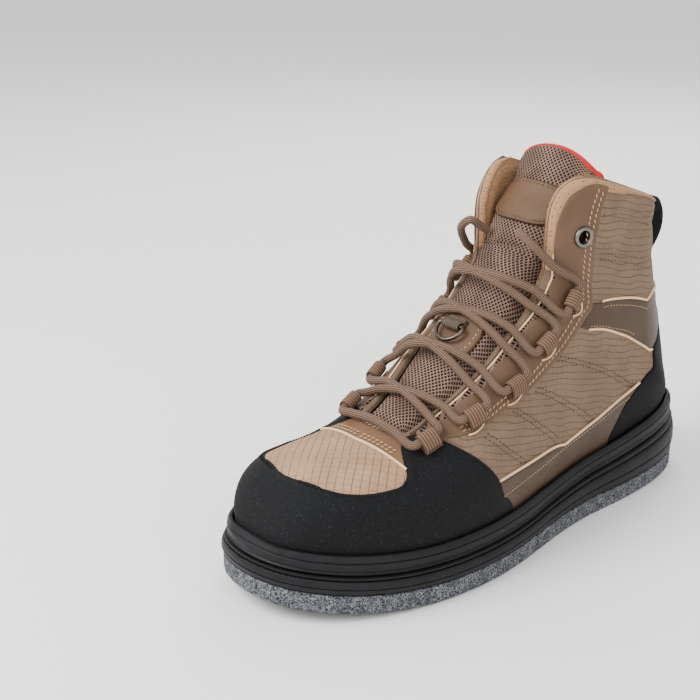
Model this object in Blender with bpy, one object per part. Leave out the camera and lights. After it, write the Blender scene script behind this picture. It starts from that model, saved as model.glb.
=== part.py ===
# Left wading boot: felt outsole, rubber cup midsole, hollow laced upper, overlays, tongue, insole, lace.
# Metres. +Z is up, the toe points to -Y and the heel to +Y, and +X is the outer (lateral) side.
# The floor is z = 0. The sole's length is centred on y = 0.
import functools
import math

import bmesh
import bpy
import numpy as np
from mathutils import Matrix, Vector

for old in list(bpy.data.objects):
    bpy.data.objects.remove(old)

# Driving sizes of the sole
SOLE_LENGTH = 0.318
BALL_WIDTH = 0.1245
FELT = 0.0105
FORE_SOLE = 0.0115
HEEL_SOLE = 0.0240
TOE_SPRING = 0.0100
HEEL_SPRING = 0.0030
FLANGE = 0.0072
RIM_HEIGHT = 0.0088
LEDGE = 0.0022
RIM_TOP = 0.0018
CUP_GAP = 0.0008

# Studs that stand in holes through the felt
STUD_RADIUS = 0.0090
STUD_BORE = 0.0022
STUD_SINK = 0.0015
STUD_CLEARANCE = 0.0006

# Driving sizes of the upper, and its walls
INSTEP_HEIGHT = 0.086
SHAFT_RISE = 0.100
SHAFT_WIDTH = 0.084
OVERLAY = 0.0014
WALL = 0.0024
COLLAR_WALL = 0.0072
OVERLAY_GAP = 0.0006
GAP = 0.0003

# Insole, tongue and trim
INSOLE = 0.0040
INSOLE_CLEARANCE = 0.0008
TONGUE = 0.0052
TONGUE_CLEARANCE = 0.0015
TONGUE_RISE = 0.0115
LACE = 0.0046
WEBBING = 0.0011
LOOP_WIDTH = 0.0105
PULL_LOOP_WIDTH = 0.020
PULL_LOOP_REACH = 0.0115
EYELET_RADIUS = 0.0059
EYELET_BORE = 0.0034
EYELET_BARREL = 0.0005
EYELET_SEAT = 0.0006
PLATE_SEAT = 0.0014
BADGE_WIDTH = 0.044
BADGE_THICK = 0.0016
BADGE_SPAN = (0.905, 0.975)
PATCH_WIDTH = 0.034
PATCH_THICK = 0.0012
PATCH_SPAN = (0.500, 0.610)
RING_RADIUS = 0.0088
RING_WIRE = 0.0011
RING_LIFT = 0.0018
RING_SPAN = (0.556, 0.524)
RING_TAB_WIDTH = 0.0120
LACE_CLEARANCE = 0.0004
LACE_OVER = 0.0018
LACE_EDGE = 0.0012
LACE_LEAD = 0.0020
LACE_CROSS = 0.0006
LACE_STEP = 0.0080
LOOP_GAP = 0.0010
K_BAR = 0.335
K_LACE_END = 0.872

# Sole outline, from the heel (0) to the toe tip (1): half widths as shares of BALL_WIDTH.
SOLE_OUTLINE = (
    # along, lateral, medial
    (0.000, 0.000, 0.000),
    (0.012, 0.180, 0.160),
    (0.050, 0.262, 0.262),
    (0.120, 0.328, 0.322),
    (0.220, 0.361, 0.343),
    (0.350, 0.372, 0.332),
    (0.450, 0.410, 0.352),
    (0.550, 0.466, 0.410),
    (0.640, 0.494, 0.468),
    (0.740, 0.482, 0.494),
    (0.840, 0.425, 0.460),
    (0.920, 0.325, 0.373),
    (0.980, 0.172, 0.222),
    (1.000, -0.020, 0.020),
)

# Side of the rubber sole, bottom to top: height as a share of the wedge, inset in metres.
SOLE_SIDE = (
    # share, inset
    (0.00, 0.0004),
    (0.30, -0.0004),
    (0.62, -0.0002),
    (0.66, 0.0010),
    (0.86, 0.0014),
    (0.92, 0.0030),
)

# Sections of the upper, fanned about X from the toe to the collar. Low is the foot line on the
# sole, then the back seam. High is the ridge over the toe, instep and shin. Places along the shoe
# are shares of SOLE_LENGTH. A level of 1 is INSTEP_HEIGHT over the sole and 2 adds SHAFT_RISE.
# Widths are shares of the girth width, which runs from BALL_WIDTH to SHAFT_WIDTH.
UPPER_SECTIONS = (
    # k, low along, low level, high along, high level, lateral, medial, widest at, roundness, heel
    (0.000, 0.9774, 0.000, 0.9774, 0.000, 0.000, 0.000, 0.50, 2.00, 1.00),
    (0.025, 0.971, 0.000, 0.974, 0.095, 0.100, 0.109, 0.55, 2.20, 1.00),
    (0.060, 0.959, 0.000, 0.962, 0.231, 0.175, 0.188, 0.50, 2.40, 1.00),
    (0.110, 0.936, 0.000, 0.934, 0.383, 0.254, 0.266, 0.44, 2.50, 1.00),
    (0.170, 0.893, 0.000, 0.887, 0.496, 0.334, 0.345, 0.38, 2.40, 1.00),
    (0.240, 0.827, 0.000, 0.818, 0.552, 0.404, 0.402, 0.34, 2.20, 1.00),
    (0.310, 0.758, 0.000, 0.752, 0.607, 0.442, 0.418, 0.28, 2.05, 1.00),
    (0.375, 0.695, 0.000, 0.695, 0.698, 0.454, 0.410, 0.27, 2.10, 1.00),
    (0.440, 0.626, 0.000, 0.638, 0.837, 0.453, 0.396, 0.26, 2.20, 1.00),
    (0.510, 0.538, 0.000, 0.585, 1.000, 0.466, 0.421, 0.26, 2.40, 1.00),
    (0.580, 0.431, 0.000, 0.538, 1.129, 0.508, 0.466, 0.27, 2.50, 1.00),
    (0.650, 0.305, 0.000, 0.503, 1.246, 0.546, 0.511, 0.30, 2.60, 1.00),
    (0.710, 0.186, 0.000, 0.484, 1.343, 0.536, 0.512, 0.33, 2.70, 1.00),
    (0.755, 0.097, 0.000, 0.475, 1.417, 0.524, 0.500, 0.35, 2.80, 1.00),
    (0.785, 0.044, 0.000, 0.472, 1.466, 0.512, 0.488, 0.36, 2.80, 1.00),
    (0.800, 0.0226, 0.000, 0.472, 1.491, 0.512, 0.488, 0.36, 2.80, 1.00),
    (0.845, 0.030, 0.281, 0.472, 1.576, 0.500, 0.476, 0.37, 2.80, 0.85),
    (0.890, 0.053, 0.664, 0.472, 1.671, 0.500, 0.476, 0.36, 2.80, 0.70),
    (0.930, 0.074, 0.997, 0.469, 1.780, 0.500, 0.476, 0.35, 2.80, 0.62),
    (0.965, 0.088, 1.260, 0.456, 1.878, 0.500, 0.476, 0.34, 2.80, 0.60),
    (1.000, 0.097, 1.482, 0.431, 1.982, 0.512, 0.488, 0.34, 2.80, 0.60),
)
K_THROAT = 0.335
K_HEEL = 0.800

# Rows and columns that the upper and its overlays share, so that their facets run side by side.
ROWS = (0.0, 0.010, 0.025, 0.045, 0.075, 0.110, 0.139, 0.148, 0.180, 0.225, 0.289, 0.307, 0.323,
        0.335, 0.339, 0.346, 0.360, 0.400, 0.421, 0.448, 0.475, 0.493, 0.503, 0.540, 0.590, 0.635,
        0.675, 0.690, 0.720, 0.755, 0.780, 0.793, 0.800, 0.820, 0.850, 0.880, 0.905, 0.920, 0.945,
        0.970, 0.988, 1.0)
COLUMNS = 8


# Curves and tables

def hermite(keys, values, at):
    keys = np.asarray(keys, float)
    values = np.asarray(values, float)
    at = np.clip(at, keys[0], keys[-1])
    step = np.diff(keys)
    slope = np.diff(values) / step
    tangent = np.empty(len(keys))
    tangent[1:-1] = (slope[:-1] * step[1:] + slope[1:] * step[:-1]) / (step[1:] + step[:-1])
    tangent[0] = 2 * slope[0] - tangent[1]
    tangent[-1] = 2 * slope[-1] - tangent[-2]
    i = np.clip(np.searchsorted(keys, at, side="right") - 1, 0, len(keys) - 2)
    h = step[i]
    u = (at - keys[i]) / h
    return ((2 * u**3 - 3 * u**2 + 1) * values[i] + (u**3 - 2 * u**2 + u) * h * tangent[i]
            + (3 * u**2 - 2 * u**3) * values[i + 1] + (u**3 - u**2) * h * tangent[i + 1])


def smooth(low, high, at):
    u = np.clip((np.asarray(at, float) - low) / (high - low), 0.0, 1.0)
    return u * u * (3 - 2 * u)


def column(table, index):
    return [row[index] for row in table]


def table_at(table, key, side):
    """Value of a (key, lateral, medial) table on one side, by straight steps between its rows."""
    return float(np.interp(key, column(table, 0), column(table, 1 if side > 0 else 2)))


# Sole outline and levels

def outline(inset, count=480):
    """Closed loop of the sole's outline moved inward by inset, heel, lateral, toe, medial."""
    rows = np.array(SOLE_OUTLINE)
    lateral = np.c_[rows[:, 1], rows[:, 0]]
    medial = np.c_[-rows[:, 2], rows[:, 0]][::-1]
    knots = np.vstack([lateral, medial[1:-1]])
    knots = np.c_[knots[:, 0] * BALL_WIDTH, SOLE_LENGTH * (0.5 - knots[:, 1])]
    wrapped = np.vstack([knots[-3:], knots, knots[:4]])
    chord = np.r_[0, np.cumsum(np.sqrt(np.hypot(*np.diff(wrapped, axis=0).T)))]
    at = np.linspace(chord[3], chord[3 + len(knots)], count, endpoint=False)
    points = np.c_[hermite(chord, wrapped[:, 0], at), hermite(chord, wrapped[:, 1], at)]
    return moved_inward(points, inset)


def moved_inward(points, distance):
    tangent = np.roll(points, -1, 0) - np.roll(points, 1, 0)
    tangent /= np.linalg.norm(tangent, axis=1)[:, None]
    normal = np.c_[tangent[:, 1], -tangent[:, 0]]
    if ((points - points.mean(0)) * normal).sum() < 0:
        normal = -normal
    return points - normal * distance


def split_sides(points):
    """Lateral and medial halves of a closed loop, each from toe (low y) to heel (high y)."""
    toe = points[np.argmin(points[:, 1])]
    heel = points[np.argmax(points[:, 1])]
    middle = np.interp(points[:, 1], [toe[1], heel[1]], [toe[0], heel[0]])
    halves = {}
    for side in (1, -1):
        half = points[(points[:, 0] - middle) * side >= 0]
        half = half[np.argsort(half[:, 1])]
        halves[side] = np.vstack([toe, half, heel])
    return halves


def ring(loop, rows=29):
    """The loop as rows of equal y: arrays lateral x, medial x and y, closer together at its ends."""
    halves = split_sides(loop)
    toe, heel = loop[:, 1].min(), loop[:, 1].max()
    y = toe + (heel - toe) * 0.5 * (1 - np.cos(np.linspace(0, math.pi, rows)))
    lateral = np.interp(y, halves[1][:, 1], halves[1][:, 0])
    medial = np.interp(y, halves[-1][:, 1], halves[-1][:, 0])
    return lateral, medial, y


def along_share(y):
    return 0.5 - np.asarray(y) / SOLE_LENGTH


def ground(y):
    share = along_share(y)
    toe = TOE_SPRING * np.clip((share - 0.70) / 0.30, 0, None) ** 2
    return toe + HEEL_SPRING * np.clip((0.09 - share) / 0.09, 0, None) ** 2


def wedge(y):
    return FORE_SOLE + (HEEL_SOLE - FORE_SOLE) * (1 - smooth(0.02, 0.56, along_share(y)))


def platform(y):
    return ground(y) + FELT + wedge(y)


FOOT_LINE = split_sides(outline(FLANGE))
TOE = FOOT_LINE[1][0]
HEEL = FOOT_LINE[1][-1]


def foot_line(y, side):
    return np.interp(y, FOOT_LINE[side][:, 1], FOOT_LINE[side][:, 0])


# The upper's own surface

def level_height(level):
    return INSTEP_HEIGHT * min(level, 1.0) + SHAFT_RISE * max(level - 1.0, 0.0)


@functools.lru_cache(maxsize=None)
def section(k):
    keys = column(UPPER_SECTIONS, 0)
    row = [float(hermite(keys, column(UPPER_SECTIONS, i), k)) for i in range(1, 10)]
    low_along, low_level, high_along, high_level, lateral, medial, widest, roundness, heel = row
    low_y = SOLE_LENGTH * (0.5 - low_along)
    if k <= K_HEEL:
        low_y = min(max(low_y, TOE[1]), HEEL[1])
        low_level = 0.0
    low_z = float(platform(min(low_y, HEEL[1]))) + GAP + level_height(max(low_level, 0.0))
    high_y = SOLE_LENGTH * (0.5 - high_along)
    high_z = float(platform(high_y)) + GAP + level_height(max(high_level, 0.0))
    girth = BALL_WIDTH + (SHAFT_WIDTH - BALL_WIDTH) * float(smooth(0.42, 0.66, k))
    half = {1: lateral * girth, -1: medial * girth}
    return low_y, low_z, high_y, high_z, half, widest, roundness, heel


def middle_x(k):
    return TOE[0] + (HEEL[0] - TOE[0]) * float(smooth(0.05, 0.60, k))


def surface(k, v, side):
    """Point of the upper's outer form. v runs from the foot line or back seam (0) to the ridge (1)."""
    low_y, low_z, high_y, high_z, half, widest, roundness, heel = section(k)
    if k <= 0:
        return np.array([TOE[0], TOE[1], low_z])
    centre = middle_x(k)
    if v < 0.5:
        spread = 1 + float(smooth(0.70, 0.80, k))
        rise = widest * (2 * v) ** spread
        y = low_y + (high_y - low_y) * rise
        reference = HEEL[1] if k > K_HEEL else low_y
        base = (foot_line(reference - (low_y - y) * heel, side) - centre) * side
        widest_y = reference - (low_y - high_y) * widest * heel
        base_at_widest = (foot_line(widest_y, side) - centre) * side
        lean = (half[side] - base_at_widest) * float(smooth(0, widest, rise))
        x = centre + side * max(base + lean, 0.0)
    else:
        turn = (v - 0.5) * math.pi
        x = centre + side * half[side] * max(math.cos(turn), 0.0) ** (2 / roundness)
        rise = widest + (1 - widest) * math.sin(turn) ** (2 / roundness)
    if v >= 1 or (v <= 0 and k >= K_HEEL):
        x = centre
    return np.array([x, low_y + (high_y - low_y) * rise, low_z + (high_z - low_z) * rise])


def normal(k, v, side):
    step = 0.002
    k0, k1 = max(k - step, 0.001), min(k + step, 1.0)
    along = surface(k1, v, side) - surface(k0, v, side)
    if v >= 1 or (v <= 0 and k >= K_HEEL):
        turned = np.array([0.0, along[2], -along[1]])
        if v >= 1:
            turned = -turned
        return turned / np.linalg.norm(turned)
    v0, v1 = max(v - 0.004, 0.0), min(v + 0.004, 1.0)
    across = surface(k, v1, side) - surface(k, v0, side)
    turned = np.cross(along, across) * side
    if v <= 0:
        turned[2] = 0.0
    return turned / np.linalg.norm(turned)


def skin(k, v, side, depth):
    """Point at a depth under the upper's outer form; a negative depth stands out from it."""
    if k <= 0:
        return surface(0, 0, 1) + np.array([0, depth, 0])
    point = surface(k, v, side) - normal(k, v, side) * depth
    if v <= 0 and k < K_HEEL:
        point[2] = float(platform(point[1])) + GAP
    return point


# Meshes

def finish(name, bm, colour, roughness, metallic=0.0, turned=True, sharp=40):
    if turned:
        bmesh.ops.recalc_face_normals(bm, faces=bm.faces)
    mesh = bpy.data.meshes.new(name)
    bm.to_mesh(mesh)
    bm.free()
    mesh.shade_smooth()
    mesh.set_sharp_from_angle(angle=math.radians(sharp))
    item = bpy.data.objects.new(name, mesh)
    bpy.context.collection.objects.link(item)
    material = bpy.data.materials.new(name + "_finish")
    material.use_nodes = True
    shader = material.node_tree.nodes["Principled BSDF"]
    shader.inputs["Base Color"].default_value = (*colour, 1)
    shader.inputs["Roughness"].default_value = roughness
    shader.inputs["Metallic"].default_value = metallic
    mesh.materials.append(material)
    return item


def solid(points, faces):
    bm = bmesh.new()
    corners = [bm.verts.new(point) for point in points]
    for face in faces:
        bm.faces.new([corners[i] for i in face])
    return bm


def shell(name, sides, span, outer, inner, colour, roughness, metallic=0.0):
    """A closed wall between two depths of the upper's form, on its common rows and columns.

    span(k, side) gives the first and last v of a row, or None; outer and inner give depths.
    Columns outside a span close up on its ends. At the ridge and the back seam both sides meet.
    """
    outside, inside, index_of, faces = [], [], {}, []

    def corner(k, v, side):
        point = skin(k, v, side, outer(k, v, side))
        key = tuple(np.round(point * 1e6).astype(int))
        if key not in index_of:
            index_of[key] = len(outside)
            outside.append(point)
            inside.append(skin(k, v, side, inner(k, v, side)))
        return index_of[key]

    for side in sides:
        grid = []
        for k in ROWS:
            limits = span(k, side)
            if limits is not None:
                low, high = limits
                edge = throat_edge(k, side)
                grid.append([corner(k, min(max(edge * j / COLUMNS, low), high), side)
                             for j in range(COLUMNS + 1)])
        for first, second in zip(grid, grid[1:]):
            for j in range(COLUMNS):
                for loop in ((first[j], second[j], second[j + 1]),
                             (first[j], second[j + 1], first[j + 1])):
                    if len(set(loop)) == 3:
                        faces.append(loop if side > 0 else loop[::-1])
    count = len(outside)
    edges = {(face[n - 1], face[n]) for face in faces for n in range(len(face))}
    rims = [(b, a, a + count, b + count) for a, b in sorted(edges) if (b, a) not in edges]
    backs = [[i + count for i in face[::-1]] for face in faces]
    bm = solid([tuple(point) for point in outside + inside], faces + backs + rims)
    return finish(name, bm, colour, roughness, metallic, turned=False)


def ring_solid(levels, caps):
    """Loft rings of the sole into one body. levels: (loop, height function); caps: first and last."""
    points, faces = [], []
    rows = None
    for loop, height in levels:
        lateral, medial, y = ring(loop)
        rows = len(y)
        z = height(y)
        points += [(lateral[i], y[i], z[i]) for i in range(rows)]
        points += [(medial[i], y[i], z[i]) for i in range(rows - 2, 0, -1)]
    count = 2 * rows - 2
    for level in range(len(levels) - 1):
        for i in range(count):
            a, b = level * count + i, level * count + (i + 1) % count
            faces.append([a, b, b + count, a + count])
    for cap in caps:
        start = cap * count
        for i in range(rows - 1):
            left = [start + i, start + i + 1]
            right = [start + (count - i - 1) % count, start + (count - i) % count]
            loop = [n for n in dict.fromkeys(left + right)]
            faces.append(loop if cap else loop[::-1])
    return solid(points, faces)


def tube(points, radius, sides, up=(0, 0, 1)):
    """A round cord along points, with flat ends."""
    points = [Vector(point) for point in points]
    bm = bmesh.new()
    turned = Vector(up)
    rings = []
    for i, point in enumerate(points):
        ahead = points[min(i + 1, len(points) - 1)]
        behind = points[max(i - 1, 0)]
        along = (ahead - behind).normalized()
        turned = (turned - along * turned.dot(along)).normalized()
        third = along.cross(turned)
        rings.append([bm.verts.new(point + radius * (turned * math.cos(angle) + third * math.sin(angle)))
                      for angle in (2 * math.pi * n / sides for n in range(sides))])
    for first, second in zip(rings, rings[1:]):
        for n in range(sides):
            m = (n + 1) % sides
            bm.faces.new([first[n], first[m], second[m], second[n]])
    bm.faces.new(rings[0][::-1])
    bm.faces.new(rings[-1])
    return bm


def closed_tube(points, radius, sides, up):
    """A round wire along a closed line in the plane square to up."""
    bm = bmesh.new()
    up = Vector(up).normalized()
    rings = []
    for i, point in enumerate(points):
        along = (points[(i + 1) % len(points)] - points[i - 1]).normalized()
        third = along.cross(up).normalized()
        rings.append([bm.verts.new(point + radius * (up * math.cos(angle) + third * math.sin(angle)))
                      for angle in (2 * math.pi * n / sides for n in range(sides))])
    for i, first in enumerate(rings):
        second = rings[(i + 1) % len(rings)]
        for n in range(sides):
            m = (n + 1) % sides
            bm.faces.new([first[n], first[m], second[m], second[n]])
    return bm


def strap(path, across, width, thickness):
    """A flat band whose middle line follows path; across is its width direction."""
    path = [Vector(point) for point in path]
    across = Vector(across).normalized()
    bm = bmesh.new()
    rings = []
    for i, point in enumerate(path):
        along = (path[min(i + 1, len(path) - 1)] - path[max(i - 1, 0)]).normalized()
        out = along.cross(across).normalized()
        rings.append([bm.verts.new(point + across * width / 2 * a + out * thickness / 2 * b)
                      for a, b in ((-1, -1), (1, -1), (1, 1), (-1, 1))])
    for first, second in zip(rings, rings[1:]):
        for n in range(4):
            m = (n + 1) % 4
            bm.faces.new([first[n], first[m], second[m], second[n]])
    bm.faces.new(rings[0][::-1])
    bm.faces.new(rings[-1])
    return bm


def turned_ring(profile, centre, axis, sides):
    """Spin a closed (radius, height) profile about an axis through centre."""
    axis = Vector(axis).normalized()
    first = axis.orthogonal().normalized()
    second = axis.cross(first)
    bm = bmesh.new()
    rings = []
    for n in range(sides):
        angle = 2 * math.pi * n / sides
        radial = first * math.cos(angle) + second * math.sin(angle)
        rings.append([bm.verts.new(Vector(centre) + radial * r + axis * h) for r, h in profile])
    for n in range(sides):
        m = (n + 1) % sides
        for i in range(len(profile)):
            j = (i + 1) % len(profile)
            bm.faces.new([rings[n][i], rings[n][j], rings[m][j], rings[m][i]])
    return bm


def apply_boolean(item, cutter, operation):
    modifier = item.modifiers.new(operation.lower(), "BOOLEAN")
    modifier.operation = operation
    modifier.object = cutter
    cutter.hide_render = True
    cutter.display_type = "WIRE"


# Felt outsole, with a hole round each stud

BLACK = (0.012, 0.012, 0.013)
BROWN = (0.20, 0.125, 0.075)
SAND = (0.36, 0.25, 0.16)
MESH_GREY = (0.16, 0.12, 0.095)

# Studs: place from the toe tip and in from the edge of the felt, on the lateral and medial side.
STUDS = (
    # along from toe, in from lateral edge, in from medial edge (0 leaves that side out), shares
    (0.100, 0.50, 0.0),
    (0.190, 0.22, 0.22),
    (0.305, 0.24, 0.22),
    (0.420, 0.25, 0.23),
    (0.530, 0.24, 0.22),
    (0.790, 0.24, 0.24),
    (0.900, 0.26, 0.26),
)


def stud_places():
    lateral, medial, y = ring(outline(0))
    for from_toe, in_lateral, in_medial in STUDS:
        at = SOLE_LENGTH * (from_toe - 0.5)
        left = float(np.interp(at, y, lateral))
        right = float(np.interp(at, y, medial))
        if in_lateral:
            yield left + (right - left) * in_lateral, at
        if in_medial:
            yield right + (left - right) * in_medial, at


def stud_group(name, radius, bottom, top, sides):
    bm = bmesh.new()
    for x, y in stud_places():
        low = float(ground(y)) + bottom
        high = float(ground(y)) + top
        placed = Matrix.Translation((x, y, (low + high) / 2))
        bmesh.ops.create_cone(bm, cap_ends=True, segments=sides, radius1=radius, radius2=radius,
                              depth=high - low, matrix=placed)
    return finish(name, bm, BLACK, 0.6)


def make_felt():
    bottom = outline(0.0008)
    edge = outline(0)
    bm = ring_solid([
        (bottom, ground),
        (edge, lambda y: ground(y) + 0.0008),
        (edge, lambda y: ground(y) + FELT - GAP),
    ], (0, 2))
    felt = finish("felt_outsole", bm, (0.11, 0.115, 0.13), 1.0)
    holes = stud_group("stud_holes", STUD_RADIUS + STUD_CLEARANCE, -0.004, FELT + 0.002, 10)
    apply_boolean(felt, holes, "DIFFERENCE")


# Rubber midsole: wedge, stepped side, and a cup rim round the upper

def rim_contour(height, outward):
    """The upper's outline at a height over the sole, moved outward, as a closed loop."""
    foot = np.linspace(0.004, 0.78, 110)
    heel = np.linspace(0.784, K_HEEL + 0.045, 60)
    halves = {1: [], -1: []}
    front, back = tuple(TOE), tuple(HEEL)
    for k in np.r_[foot, heel]:
        k = float(k)
        low_y, low_z, high_y, high_z = section(k)[:4]
        if low_z - float(platform(low_y)) - GAP > height:
            back = (HEEL[0], low_y)
            break
        if high_z - float(platform(high_y)) - GAP < height:
            front = (middle_x(k), high_y)
            continue
        for side in (1, -1):
            steps = [surface(k, v, side) for v in np.linspace(0, 1, 41) ** 1.5]
            over = [point[2] - float(platform(point[1])) - GAP for point in steps]
            halves[side].append([float(np.interp(height, over, [point[axis] for point in steps]))
                                 for axis in (0, 1)])
    return moved_inward(np.array([front] + halves[1] + [back] + halves[-1][::-1]), -outward)


def make_midsole():
    levels = [(outline(inset), lambda y, s=share: ground(y) + FELT + wedge(y) * s)
              for share, inset in SOLE_SIDE]
    levels.append((outline(LEDGE + 0.0008), lambda y: platform(y) + RIM_HEIGHT * 0.22))
    levels.append((rim_contour(RIM_HEIGHT, CUP_GAP + RIM_TOP + 0.0009),
                   lambda y: platform(y) + RIM_HEIGHT * 0.90))
    levels.append((rim_contour(RIM_HEIGHT, CUP_GAP + RIM_TOP), lambda y: platform(y) + RIM_HEIGHT))
    levels.append((rim_contour(RIM_HEIGHT, CUP_GAP), lambda y: platform(y) + RIM_HEIGHT))
    levels.append((rim_contour(RIM_HEIGHT * 0.5, CUP_GAP), lambda y: platform(y) + RIM_HEIGHT * 0.5))
    levels.append((outline(FLANGE - CUP_GAP), platform))
    midsole = finish("midsole", ring_solid(levels, (0, len(levels) - 1)), BLACK, 0.62)
    studs = stud_group("studs", STUD_RADIUS, STUD_SINK, FELT + 0.004, 10)
    apply_boolean(midsole, studs, "UNION")
    bores = stud_group("stud_bores", STUD_BORE, -0.004, FELT - 0.003, 6)
    apply_boolean(midsole, bores, "DIFFERENCE")


def make_insole():
    loop = outline(FLANGE + OVERLAY + OVERLAY_GAP + WALL + INSOLE_CLEARANCE)
    bm = ring_solid([
        (loop, lambda y: platform(y) + GAP),
        (loop, lambda y: platform(y) + GAP + INSOLE),
    ], (0, 1))
    finish("insole", bm, (0.05, 0.05, 0.05), 0.9)


make_felt()
make_midsole()
make_insole()


# The upper's edges and the edges of its overlays, as v on each side

THROAT_EDGE = (
    # k, lateral, medial
    (0.335, 1.000, 1.000),
    (0.339, 0.960, 0.960),
    (0.346, 0.920, 0.925),
    (0.360, 0.905, 0.905),
    (0.400, 0.897, 0.900),
    (0.463, 0.878, 0.880),
    (0.526, 0.857, 0.860),
    (0.589, 0.848, 0.850),
    (0.646, 0.832, 0.835),
    (0.703, 0.825, 0.815),
    (0.766, 0.812, 0.790),
    (0.850, 0.800, 0.770),
    (0.913, 0.795, 0.765),
    (0.946, 0.790, 0.755),
    (0.973, 0.775, 0.735),
    (0.988, 0.745, 0.705),
    (1.000, 0.690, 0.650),
)

TOE_CAP_TOP = (
    # k, lateral, medial
    (0.139, 1.000, 1.000),
    (0.143, 0.960, 0.960),
    (0.150, 0.920, 0.920),
    (0.184, 0.780, 0.800),
    (0.235, 0.735, 0.750),
    (0.289, 0.735, 0.745),
    (0.305, 0.770, 0.770),
    (0.325, 0.870, 0.860),
    (0.340, 0.885, 0.875),
    (0.385, 0.870, 0.860),
    (0.406, 0.750, 0.750),
    (0.421, 0.660, 0.660),
    (0.448, 0.575, 0.575),
    (0.475, 0.480, 0.480),
    (0.493, 0.300, 0.300),
    (0.503, 0.000, 0.000),
)

COUNTER_TOP = (
    # k, lateral, medial
    (0.675, 0.000, 0.000),
    (0.685, 0.250, 0.250),
    (0.721, 0.410, 0.410),
    (0.787, 0.500, 0.500),
    (0.850, 0.430, 0.430),
    (0.880, 0.330, 0.330),
    (0.905, 0.200, 0.200),
    (0.920, 0.100, 0.100),
)

BAND_TOP = (
    # k, lateral, medial
    (0.462, 0.535, 0.535),
    (0.560, 0.490, 0.490),
    (0.634, 0.450, 0.450),
    (0.688, 0.440, 0.440),
    (0.750, 0.462, 0.462),
)

EYESTAY_REAR = (
    # k, lateral, medial
    (0.400, 0.780, 0.780),
    (0.460, 0.725, 0.725),
    (0.586, 0.668, 0.668),
    (0.727, 0.655, 0.655),
    (0.865, 0.640, 0.630),
    (0.931, 0.630, 0.615),
    (0.990, 0.622, 0.600),
)

# Seams and trims between overlays, in v
FLAP_TRIM = 0.014
SEAM = 0.012


def throat_edge(k, side):
    return 1.0 if k < K_THROAT else table_at(THROAT_EDGE, k, side)


def upper_span(k, side):
    return 0.0, throat_edge(k, side)


def toe_cap_span(k, side):
    if k > TOE_CAP_TOP[-1][0]:
        return None
    return 0.0, table_at(TOE_CAP_TOP, k, side) if k >= TOE_CAP_TOP[0][0] else 1.0


def counter_span(k, side):
    if k < COUNTER_TOP[0][0] or k > COUNTER_TOP[-1][0]:
        return None
    return 0.0, table_at(COUNTER_TOP, k, side)


def band_span(k, side):
    if k < BAND_TOP[0][0] or k > BAND_TOP[-1][0]:
        return None
    low = 0.0
    if k <= TOE_CAP_TOP[-1][0]:
        low = table_at(TOE_CAP_TOP, k, side) + SEAM
    if k >= COUNTER_TOP[0][0]:
        low = table_at(COUNTER_TOP, k, side) + SEAM
    high = table_at(BAND_TOP, k, side)
    return (low, high) if high > low + SEAM else None


def eyestay_span(k, side):
    if k < EYESTAY_REAR[0][0] or k > EYESTAY_REAR[-1][0]:
        return None
    low = max(table_at(EYESTAY_REAR, k, side), table_at(TOE_CAP_TOP, k, side) + SEAM)
    high = throat_edge(k, side) - FLAP_TRIM
    return (low, high) if high > low + SEAM else None


def on_top(k, v, side):
    return 0.0


def overlay_back(k, v, side):
    return OVERLAY


def upper_face(k, v, side):
    return OVERLAY + OVERLAY_GAP


def lining_depth(k, v, side):
    """Depth of the upper's inner face: the wall is padded round the ankle and the collar."""
    _, y, z = surface(k, v, side)
    high = float(smooth(0.55 * INSTEP_HEIGHT, 1.10 * INSTEP_HEIGHT, z - float(platform(y))))
    padding = (COLLAR_WALL - WALL) * high * float(smooth(0.62, 0.76, k))
    return upper_face(k, v, side) + WALL + padding


def drill(item, holes):
    apply_boolean(item, holes, "DIFFERENCE")


# Eyelets: a metal ring on each collar flap, and two drains low on the medial side

EYELETS = (
    # name, k, v, side, depth of the barrel
    ("collar_eyelet_lateral", 0.919, 0.672, 1, COLLAR_WALL + OVERLAY),
    ("collar_eyelet_medial", 0.919, 0.648, -1, COLLAR_WALL + OVERLAY),
    ("drain_eyelet_front", 0.535, 0.300, -1, WALL + OVERLAY),
    ("drain_eyelet_rear", 0.595, 0.290, -1, WALL + OVERLAY),
)


def eyelet_holes(name, wanted):
    bm = bmesh.new()
    radius = EYELET_BORE + EYELET_BARREL + GAP
    for _, k, v, side, depth in wanted:
        axis = Vector(normal(k, v, side))
        centre = Vector(surface(k, v, side)) - axis * depth / 2
        turned = axis.to_track_quat("Z", "Y").to_matrix().to_4x4()
        bmesh.ops.create_cone(bm, cap_ends=True, segments=11, radius1=radius, radius2=radius,
                              depth=depth + 0.012, matrix=Matrix.Translation(centre) @ turned)
    return finish(name, bm, BLACK, 0.5)


def make_eyelet(name, k, v, side, depth):
    flange = EYELET_SEAT
    profile = ((EYELET_BORE, flange + 0.0008), (EYELET_RADIUS - 0.0006, flange + 0.0006),
               (EYELET_RADIUS, flange),
               (EYELET_BORE + EYELET_BARREL, flange), (EYELET_BORE + EYELET_BARREL, -depth),
               (EYELET_BORE, -depth))
    bm = turned_ring(profile, surface(k, v, side), normal(k, v, side), 11)
    finish(name, bm, (0.45, 0.43, 0.40), 0.25, 1.0)


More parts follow.
